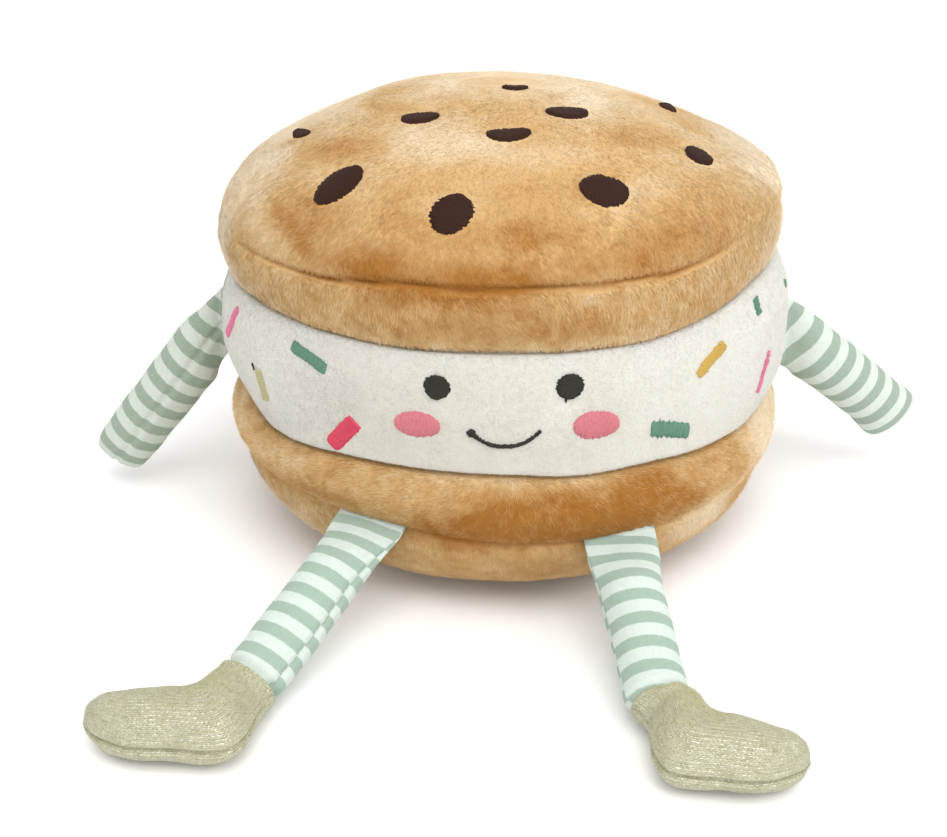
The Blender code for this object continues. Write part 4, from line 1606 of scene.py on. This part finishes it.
@dataclass
class CookieBottom(Panel):
    """The lower cookie: a plush band, a seam where the legs are sewn in, and a rounded underside."""

    name: str = field(init=False, default="cookie_bottom")
    rows: int = 100
    columns: int = 360
    shrink: float = 1.5 * MM
    band_bulge: float = 4.6 * MM
    pile: Pile = Pile(150_000, 2.0 * MM, 0.30 * MM, 15, 15, 30)
    stuffing: Stuffing = Stuffing(30, 110)
    wander: Rows = (
        (-90, 0), (-60, 0.5), (-44, 0.2), (-20, -0.6), (-8, 0.4), (0, 0.3), (10, 0.2), (30, 0), (60, -0.5),
        (90, 0), (180, 0.8),
    )
    folds: tuple[Fold, ...] = tuple(Fold(*row) for row in (
        (-2, 37, 86, 8, 2.6, -1.3), (5, 36, 80, 9, 3.0, 0.7), (-40, 30, -70, 6, 2.2, -0.8),
        (-15, 31, 60, 6, 2.2, -0.7), (33, 30, -60, 6, 2.2, -0.7), (-60, 14, 25, 16, 2.4, -0.6),
        (-52, 9, 15, 16, 2.4, 0.5), (75, 16, 70, 10, 3.4, -0.7), (150, 20, 70, 9, 3.4, -0.7),
        (-150, 24, 70, 9, 3.4, -0.7),
    ))
    # Patches of the nap-and-shade map. Besides where the nap lies the other way, they paint shade with a
    # positive strength and highlight with a negative one, such as the paler right and left sides.
    patches: tuple[Brushed, ...] = tuple(Brushed(*row) for row in (
        (16, 14, 32, 11, 0.46), (6, 1, 30, 3, -0.18), (-14, 24, 20, 4, 0.10), (30, 9, 16, 8, 0.16),
        (-8, 19, 20, 8, 0.26), (41, 16, 8, 10, 0.10), (-50, 8, 26, 4, -0.14, 8), (-40, 17, 24, 3, 0.16, 6),
        (70, 9, 26, 14, -0.56), (-80, 14, 24, 16, -0.26), (44, 30, 16, 10, -0.40), (-50, 36, 20, 10, -0.20),
        (6, 34, 7, 7, 0.12), (150, 12, 40, 11, 0.25), (-140, 14, 36, 11, 0.18),
    ))

    def build(self, effects: Effects) -> None:
        """Makes the cloth and its pile."""
        plan, shrink = self.plan, self.shrink
        top = (plan.cream_base_radius - shrink, plan.cream_base)
        seam = (plan.leg_seam_radius - shrink, plan.leg_seam_height)
        band = band_profile(top, seam, self.band_bulge)
        base = dome_profile(*seam, shrink - plan.leg_seam_height, plan.base_power, plan.base_radius)[::-1]
        middle = np.array([[plan.base_radius * 0.5, shrink]])
        profile = np.concatenate([band, base[1:], middle])
        cloth = TurnedCloth(profile, self.rows, self.columns, plan.lower_shape)
        fade = (
            (-125, 0.6), (-110, 0.25), (-75, 0.3), (-60, 0.8), (-20, 1.0), (0, 1.0), (15, 0.8), (30, 0.5),
            (60, 0.2), (100, 0.2), (125, 0.6),
        )
        legs = Seam(cloth.down_of_height(plan.leg_seam_height), 2.1 * MM, 1.0 * MM, self.wander, fade)
        edge = Seam(-0.8 * MM, 1.6 * MM, 1.4 * MM)
        flat = int(np.argmax(cloth.profile[:, 0] < plan.base_radius + 6 * MM))
        self.stuffing.fill(cloth, [legs.down / cloth.step, flat])
        relief = body_relief(cloth, 3, (legs, edge)) + cloth.folds(self.folds)
        relief[flat:] = 0
        cloth.push(relief)
        cloth.points[..., 2] = np.maximum(cloth.points[..., 2], 0.5 * MM)
        # The nap-and-shade map: the patches, plus painted shade along the leg seam.
        brushed = np.clip(cloth.brushed(self.patches, 0.56, 29) + cloth.parted_seam_shade(legs, 0.7 * MM, 0.45), 0, 1)
        fibres = Fibres(cloth, self.pile, 13)
        fibres.keep = np.where(np.arange(self.rows)[:, None] < flat - 3, 1.0, 0.0) * np.ones(self.columns)
        past = legs.distance(cloth)
        below = eased(past / (1.5 * MM))[..., None]
        backward = np.clip(np.sin(cloth.azimuths) * 3, -1, 1)[None, :, None] * cloth.round_vectors()
        level = backward + 0.35 * DOWNWARD
        fibres.comb = level * (1 - below) + (DOWNWARD + 0.5 * cloth.round_vectors()) * below
        fibres.tall = 1 - 0.50 * bump(past, 1.3 * MM) * legs.strength(cloth)
        fibres.rough = 2.1 - 0.7 * below[..., 0]
        self.dress(cloth, COOKIE_PLUSH, fibres, brushed, None, effects)


# Arms, legs and boots

@dataclass(frozen=True)
class Spine:
    """The middle line of a limb: a curve with one control point, in metres."""

    start: tuple[float, float, float]
    bend: tuple[float, float, float]
    end: tuple[float, float, float]

    def at(self, t: Array) -> tuple[Array, Array]:
        """Returns the points and the unit directions at shares of the curve."""
        start, bend, end = (np.array(point) for point in (self.start, self.bend, self.end))
        t = t[:, None]
        points = start * (1 - t) ** 2 + bend * (2 * t * (1 - t)) + end * t ** 2
        return points, unit((bend - start) * (1 - t) + (end - bend) * t)


@dataclass
class RingSet:
    """Elliptical rings along a piece, one in each row.

    Attributes:
        centre: their middles.
        across: the direction of their width.
        through: the direction of their thickness.
        width: their widths.
        thickness: their thicknesses.
    """

    centre: Array
    across: Array
    through: Array
    width: Array
    thickness: Array

    def cloth(self, angles: Array) -> Cloth:
        """Returns the cloth through the rings' points at angles measured from the width's direction."""
        side = np.cos(angles)[None, :, None] * (self.width / 2)[:, None, None] * self.across[:, None, :]
        rise = np.sin(angles)[None, :, None] * (self.thickness / 2)[:, None, None] * self.through[:, None, :]
        return Cloth(self.centre[:, None, :] + side + rise, self.centre)


class Limb:
    """A stuffed tube of striped jersey, sewn flat into the body, with one seam along it."""

    ROWS = 170
    COLUMNS = 76
    SEWN = 2.6 * MM
    GIRTH = 58 * MM
    CLOTH_WIDTH = 60 * MM
    STITCH = 2.6 * MM
    GATHERED = 9 * MM

    def __init__(self, name: str, rings: RingSet, directions: Array, seam: float, seed: int) -> None:
        """Shapes the cloth.

        Args:
            name: the CAD node that it replaces.
            rings: its rings, from the body outwards.
            directions: the unit direction of the middle line at each ring.
            seam: where the seam along it lies on the rings, in degrees.
            seed: chooses its lumps.
        """
        self.name, self.rings, self.directions, self.seed = name, rings, directions, seed
        self.share = np.arange(self.COLUMNS) / self.COLUMNS
        self.cloth = rings.cloth(math.radians(seam) + self.share * math.tau)
        steps = np.linalg.norm(np.diff(rings.centre, axis=0), axis=1)
        self.along = np.concatenate([[0], np.cumsum(steps)])

    def settle(self, stuffing: Stuffing) -> None:
        """Lets the stuffing fill it, and adds its lumps, its creases and its seam."""
        cloth = self.cloth
        flat_map = self.cloth_map(0.0)[:, :-1, 1]
        stuffing.fill(cloth, ())
        lumps = Noise(self.seed)
        near_root = np.exp(-self.along / self.GATHERED)[:, None]
        relief = 0.45 * MM * lumps.at(cloth.points, 11 * MM) + 0.16 * MM * lumps.at(cloth.points, 4.5 * MM)
        crease = Noise(self.seed + 1).at(cloth.points * np.array([0.5, 0.5, 1.0]), 5 * MM)
        relief += near_root * crease * 0.7 * MM
        gap = np.minimum(self.share, 1 - self.share)[None, :] * self.GIRTH
        stitch = 0.5 + 0.5 * np.sin(flat_map / self.STITCH * math.tau)
        relief -= (0.55 + 0.20 * stitch) * MM * bump(gap, 0.9 * MM)
        relief += 0.20 * MM * bump(gap - 2.2 * MM, 1.2 * MM)
        cloth.push(relief)

    def cloth_map(self, mismatch: float) -> Array:
        """Returns where each point lies on the flat jersey, in metres, and the first column again at last.

        Args:
            mismatch: how far apart along the limb the two edges of the jersey are where they are sewn.
        """
        share = np.append(self.share, 1.0)
        points = np.concatenate([self.cloth.points, self.cloth.points[:, :1]], axis=1)
        lean = np.sum((points - self.rings.centre[:, None, :]) * self.directions[:, None, :], axis=-1)
        length = self.along[:, None] + lean + mismatch * (share - 0.5)[None, :]
        return np.stack([np.broadcast_to(share * self.CLOTH_WIDTH, length.shape), length], axis=-1)

    def finish(self, jersey: JerseyFinish, mismatch: float, effects: Effects) -> None:
        """Makes the piece."""
        piece = self.cloth.piece(self.name + "_jersey", jersey.material(effects), self.cloth_map(mismatch))
        fitted(piece, (self.name,))


@dataclass(frozen=True)
class Arm:
    """An arm that hangs from the cream's side, closed flat at its end."""

    name: str
    root: tuple[float, float, float]
    hand: tuple[float, float, float]
    hand_width: float
    jersey: JerseyFinish
    seam: float
    seed: int
    rise: float = 2.0 * MM
    seam_width: float = 26.0 * MM
    width: float = 21.2 * MM
    thickness: float = 18.5 * MM
    rounding: float = 0.32

    def build(self, effects: Effects) -> None:
        """Makes the arm."""
        root, hand = np.array(self.root), np.array(self.hand)
        bend = root + (hand - root) * 0.45 + np.array([0, 0, self.rise])
        spine = Spine(self.root, tuple(bend), self.hand)
        t = 1.045 * (1 - (1 - np.linspace(0, 1, Limb.ROWS)) ** 1.5) - 0.045
        centre, along = spine.at(t)
        square = unit(np.cross(along, np.array([0.0, 1.0, 0.0])))
        square = np.where(square[:, 2:] > 0, -square, square)
        turned = eased(t / 0.4)[:, None]
        across = unit(DOWNWARD * (1 - turned) + square * turned)
        filled = eased(t / 0.32) ** 0.6
        closed = np.sqrt(np.clip(1 - (np.maximum(t - 0.80, 0) / 0.20) ** 2, 0, 1))
        width = self.seam_width + (self.width - self.seam_width) * eased(t / 0.35)
        width = width + (self.hand_width - self.width) * eased((t - 0.75) / 0.25)
        corner = np.sqrt(np.clip(1 - (np.maximum(t - 0.88, 0) / 0.12) ** 2, 0, 1))
        width = width * (1 - self.rounding * (1 - corner))
        thickness = Limb.SEWN + (self.thickness - Limb.SEWN) * filled * closed
        rings = RingSet(centre, across, unit(np.cross(across, along)), width, thickness)
        limb = Limb(self.name, rings, along, self.seam, self.seed)
        limb.settle(Stuffing(26, 24, slack=0.02, limit=0.7 * MM, mass=0.004))
        limb.finish(self.jersey, 0.0, effects)


@dataclass(frozen=True)
class Leg:
    """A leg that lies on the floor, sewn flat into the lower cookie's seam."""

    name: str
    plan: BodyPlan
    turn: float
    ankle: tuple[float, float, float]
    jersey: JerseyFinish
    seam: float
    mismatch: float
    seed: int
    sag: float = 2.0 * MM
    seam_width: float = 24.5 * MM
    width: float = 19.6 * MM
    thickness: float = 18.6 * MM
    ankle_width: float = 18.2 * MM
    tuck: float = 3.2 * MM

    @property
    def spine(self) -> Spine:
        """The leg's middle line."""
        turn = math.radians(self.turn)
        radius = self.plan.leg_seam_radius + 0.6 * MM
        seam = (math.sin(turn) * radius, -math.cos(turn) * radius, self.plan.leg_seam_height)
        root = self.plan.squashed(np.array([seam]))[0]
        bend = root + (np.array(self.ankle) - root) * 0.6 - np.array([0, 0, self.sag])
        return Spine(tuple(root), tuple(bend), self.ankle)

    def build(self, effects: Effects) -> None:
        """Makes the leg. It reaches a little way into its boot."""
        turn = math.radians(self.turn)
        t = np.linspace(-0.06, 1.045, Limb.ROWS)
        centre, along = self.spine.at(t)
        sewn = np.array([math.cos(turn), math.sin(turn), 0.0])
        square = unit(np.cross(along, UPWARD))
        square = np.where(np.sum(square * sewn, axis=1, keepdims=True) < 0, -square, square)
        turned = eased(t / 0.3)[:, None]
        across = unit(sewn * (1 - turned) + square * turned)
        width = self.seam_width + (self.width - self.seam_width) * eased(t / 0.3)
        tucked = self.tuck * eased((t - 0.95) / 0.06)
        width = width + (self.ankle_width - self.width) * t - tucked
        filled = eased(t / 0.35) ** 0.6
        thickness = Limb.SEWN + (self.thickness - Limb.SEWN) * filled - tucked
        rings = RingSet(centre, across, unit(np.cross(across, along)), width, thickness)
        limb = Limb(self.name, rings, along, self.seam, self.seed)
        limb.settle(Stuffing(26, 24, slack=0.02, limit=0.6 * MM, mass=0.004))
        limb.cloth.points[..., 2] = np.maximum(limb.cloth.points[..., 2], 0.3 * MM)
        limb.finish(self.jersey, self.mismatch, effects)


Spot = tuple[float, float]


@dataclass(frozen=True)
class Boot:
    """A knitted boot that lies on its side: two panels sewn together along its outline, and filled.

    Attributes:
        leg: the leg that it is on.
        side: -1 for the boot whose toe points to -X.
        heading: the direction from the heel to the toe, in degrees.
        heel: the heel's place along and across the sole from the ankle, in metres.
        length: the foot's length, in metres.
        stations: from the ankle round the heel to the toe, a point of the back and sole and the point of the
            front across from it, each as a share of the foot's length and metres above the sole, and how
            full the boot is there.
    """

    name: str
    leg: Leg
    side: int
    heading: float
    heel: Spot
    length: float
    seed: int
    thickness: float = 17.4 * MM
    ankle_width: float = 17.4 * MM
    slimmer: float = 1.3 * MM
    rows: int = 110
    ribs: int = 56
    seam_span: float = 18 * MM
    loop: float = 1.3 * MM
    crease_size: float = 9 * MM
    stations: tuple[tuple[Spot, Spot, float], ...] = (
        ((0.020, 0.0195), (0.41, 0.0280), 0.96),
        ((0.045, 0.0120), (0.45, 0.0240), 0.98),
        ((0.062, 0.0046), (0.48, 0.0224), 1.00),
        ((0.112, -0.0004), (0.54, 0.0213), 1.00),
        ((0.43, -0.0028), (0.63, 0.0208), 0.99),
        ((0.73, -0.0026), (0.81, 0.0180), 0.93),
        ((0.92, 0.0018), (0.94, 0.0138), 0.78),
        ((0.985, 0.0055), (0.985, 0.0105), 0.46),
        ((1.000, 0.0070), (1.000, 0.0092), 0.18),
    )

    def _rings(self) -> RingSet:
        """Returns the rings at the stations, from the cuff on."""
        ankle, down = self.leg.spine.at(np.array([1.0]))
        ankle, down = ankle[0], down[0]
        heading = math.radians(self.heading)
        toeward = np.array([math.cos(heading), math.sin(heading), 0.0])
        legward = np.array([-toeward[1], toeward[0], 0.0]) * self.side
        heel = ankle + toeward * self.heel[0] + legward * self.heel[1]
        forward = unit(np.cross(UPWARD, down)) * self.side
        cuff_up = np.cross(down, forward) * self.side
        centres, across, through = [ankle + down * 0.3 * MM], [forward], [cuff_up]
        widths, thicknesses = [self.ankle_width], [self.ankle_width]
        for back, front, fill in self.stations:
            outer = heel + toeward * back[0] * self.length + legward * back[1]
            inner = heel + toeward * front[0] * self.length + legward * front[1]
            centre = (outer + inner) / 2
            centre[2] = self.thickness / 2 + 0.2 * MM
            centres.append(centre)
            across.append(unit(inner - outer))
            through.append(UPWARD)
            widths.append(float(np.linalg.norm(inner - outer)) - self.slimmer * min(1.0, fill / 0.8))
            thicknesses.append(self.thickness * fill)
        return RingSet(*(np.array(values) for values in (centres, across, through, widths, thicknesses)))

    @staticmethod
    def _between(rings: RingSet, count: int) -> RingSet:
        """Returns count rings spaced evenly on a smooth curve through a few."""
        rows = np.column_stack([rings.centre, rings.across, rings.through, rings.width, rings.thickness])
        outer = rings.centre - rings.across * rings.width[:, None] / 2
        inner = rings.centre + rings.across * rings.width[:, None] / 2
        middle = np.linalg.norm(np.diff((outer + inner) / 2, axis=0), axis=1)
        steps = 0.5 * middle + 0.25 * (
            np.linalg.norm(np.diff(outer, axis=0), axis=1) + np.linalg.norm(np.diff(inner, axis=0), axis=1)
        )
        place = np.concatenate([[0], np.cumsum(np.maximum(steps, 0.5 * MM))])
        slope = np.gradient(rows, place, axis=0)
        wanted = np.linspace(0, place[-1], count)
        low = np.clip(np.searchsorted(place, wanted, "right") - 1, 0, len(place) - 2)
        span = (place[low + 1] - place[low])[:, None]
        t = (wanted - place[low])[:, None] / span
        blended = (
            rows[low] * (2 * t ** 3 - 3 * t ** 2 + 1) + rows[low + 1] * (3 * t ** 2 - 2 * t ** 3)
            + slope[low] * span * (t ** 3 - 2 * t ** 2 + t) + slope[low + 1] * span * (t ** 3 - t ** 2)
        )
        centre, across, through = blended[:, :3], unit(blended[:, 3:6]), unit(blended[:, 6:9])
        return RingSet(centre, across, through, np.abs(blended[:, 9]), np.abs(blended[:, 10]))

    def build(self, effects: Effects) -> None:
        """Makes the boot."""
        rows, columns = self.rows, self.ribs * 4
        rings = self._between(self._rings(), rows)
        angles = np.arange(columns) / columns * math.tau
        cloth = rings.cloth(angles)
        Stuffing(26, 28, slack=0.02, limit=0.5 * MM, mass=0.004).fill(cloth, ())
        steps = np.linalg.norm(np.diff(cloth.points, axis=0), axis=-1).mean(axis=1)
        along = np.concatenate([[0], np.cumsum(steps)])
        gap = np.minimum(np.abs(np.sin(angles / 2)), np.abs(np.cos(angles / 2))) * self.seam_span
        lumps = Noise(self.seed)
        relief = 0.45 * MM * lumps.at(cloth.points, 12 * MM) + 0.14 * MM * lumps.at(cloth.points, 4 * MM)
        rib = np.abs(np.sin(angles * self.ribs / 2))[None, :]
        loops = 0.06 * MM * np.sin(along / self.loop * math.tau)[:, None]
        relief += (0.13 * MM * rib + loops * rib) * eased(1.2 - 0.4 * bump(gap, 1.0 * MM))[None, :]
        deepening = (0.35 + 0.65 * eased(along / self.seam_span))[:, None]
        relief -= 1.25 * MM * bump(gap, 0.80 * MM)[None, :] * deepening
        relief += 0.35 * MM * bump(gap - 1.9 * MM, 0.9 * MM)[None, :]
        welt = 0.55 * MM * bump(along - 1.6 * MM, 1.3 * MM) - 1.2 * MM * bump(along, 0.7 * MM)
        relief += welt[:, None]
        cloth.push(relief)
        cloth.points[..., 2] = np.maximum(cloth.points[..., 2], 0.2 * MM)
        share = np.arange(columns + 1) / columns
        length = np.broadcast_to(along[:, None], (rows, columns + 1))
        flat = np.stack([np.broadcast_to(share * self.ribs * GOLD_KNIT.rib, length.shape), length], axis=-1)
        piece = cloth.piece(self.name + "_knit", GOLD_KNIT.material(effects), flat)
        # The crease attribute marks a soft patch round the instep, where the knit gets its painted shade.
        instep = cloth.points[int(rows * 0.26), columns // 10]
        crease = bump(np.linalg.norm(cloth.points - instep, axis=-1), self.crease_size)
        set_attribute(piece, "crease", with_ends(crease))
        fitted(piece, (self.name,))


# Surroundings

@dataclass(frozen=True)
class Studio:
    """The camera, the lights and the floor. A lamp has a name, a place, a size and a power in watts."""

    eye: tuple[float, float, float] = (-8.8 * MM, -425.1 * MM, 240.0 * MM)
    aim: tuple[float, float, float] = (-8.8 * MM, 0.0, 28.0 * MM)
    lens: float = 48.165
    lit: tuple[float, float, float] = (0.0, 0.0, 0.06)
    floor_size: float = 4.0
    paint: float = 0.95
    lamps: tuple[tuple[str, tuple[float, float, float], float, float], ...] = (
        ("overhead", (0.05, -0.55, 1.00), 0.7, 6.0),
        ("key", (0.75, -0.7, 0.75), 0.6, 3.0),
    )

    @staticmethod
    def placed(name: str, data: bpy.types.ID, place: Sequence[float], aim: Sequence[float]) -> Piece:
        """Returns a new object at a place, turned to face an aim."""
        thing = bpy.data.objects.new(name, data)
        thing.location = place
        thing.rotation_euler = (Vector(aim) - Vector(place)).to_track_quat("-Z", "Y").to_euler()
        bpy.context.scene.collection.objects.link(thing)
        return thing

    def camera(self) -> None:
        """Makes the camera."""
        data = bpy.data.cameras.new("camera")
        data.lens, data.sensor_width = self.lens, 36.0
        data.clip_start, data.clip_end = 0.01, 20.0
        bpy.context.scene.camera = self.placed("camera", data, self.eye, self.aim)

    def floor(self) -> None:
        """Makes a plain pale floor."""
        points = self.floor_size * np.array([(-1, -1, 0), (1, -1, 0), (1, 1, 0), (-1, 1, 0)])
        material, tree, shader = new_material("floor_paint")
        tree.fill(shader, {"Base Color": (self.paint,) * 3, "Roughness": 0.9, "Specular IOR Level": 0.1})
        floor = mesh_piece("floor", points, [np.array([[0, 1, 2, 3]])], material)

    def lamp(self, name: str, place: tuple[float, float, float], size: float, watts: float) -> None:
        """Makes a soft square lamp that shines on the toy."""
        data = bpy.data.lights.new(name, "AREA")
        data.size, data.energy = size, watts
        self.placed(name, data, place, self.lit)

    def build(self) -> None:
        """Makes everything round the toy."""
        scene = bpy.context.scene
        self.camera()
        self.floor()
        world = bpy.data.worlds.new("studio_white")
        world.use_nodes = True
        Tree(world.node_tree).fill(
            world.node_tree.nodes["Background"], {"Color": (1.0, 1.0, 1.0), "Strength": 1.0}
        )
        scene.world = world
        for lamp in self.lamps:
            self.lamp(*lamp)
        scene.view_settings.view_transform = "Standard"


def main() -> None:
    """Builds the toy and its surroundings."""
    logging.basicConfig(level=logging.INFO, format="%(name)s: %(message)s")
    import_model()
    effects = Effects()
    Studio().build()
    plan = BodyPlan.from_frame()
    left_leg = Leg("leg_left", plan, -27.5, (-0.0728, -0.1322, 0.0098), LEFT_LEG_JERSEY, -12, 4 * MM, 33)
    right_leg = Leg("leg_right", plan, 21.5, (0.0432, -0.1420, 0.0098), RIGHT_LEG_JERSEY, 178, -4 * MM, 34)
    parts = (
        CookieTop(plan),
        IceCream(plan),
        CookieBottom(plan),
        Arm(
            "arm_left", (-0.0994, -0.0040, 0.0672), (-0.1440, 0.0, 0.0119), 20.6 * MM,
            LEFT_ARM_JERSEY, seam=270, seed=31,
        ),
        Arm(
            "arm_right", (0.1030, -0.0060, 0.0655), (0.1536, 0.0130, 0.0221), 23.6 * MM,
            RIGHT_ARM_JERSEY, seam=270, seed=32, rounding=0.24,
        ),
        left_leg,
        right_leg,
        Boot("boot_left", left_leg, -1, 174, (-8.0 * MM, -28.8 * MM), 49.4 * MM, 35),
        Boot("boot_right", right_leg, 1, -5, (-5.0 * MM, -27.4 * MM), 44.0 * MM, 36),
    )
    for part in parts:
        part.build(effects)


if __name__ == "__main__":
    main()
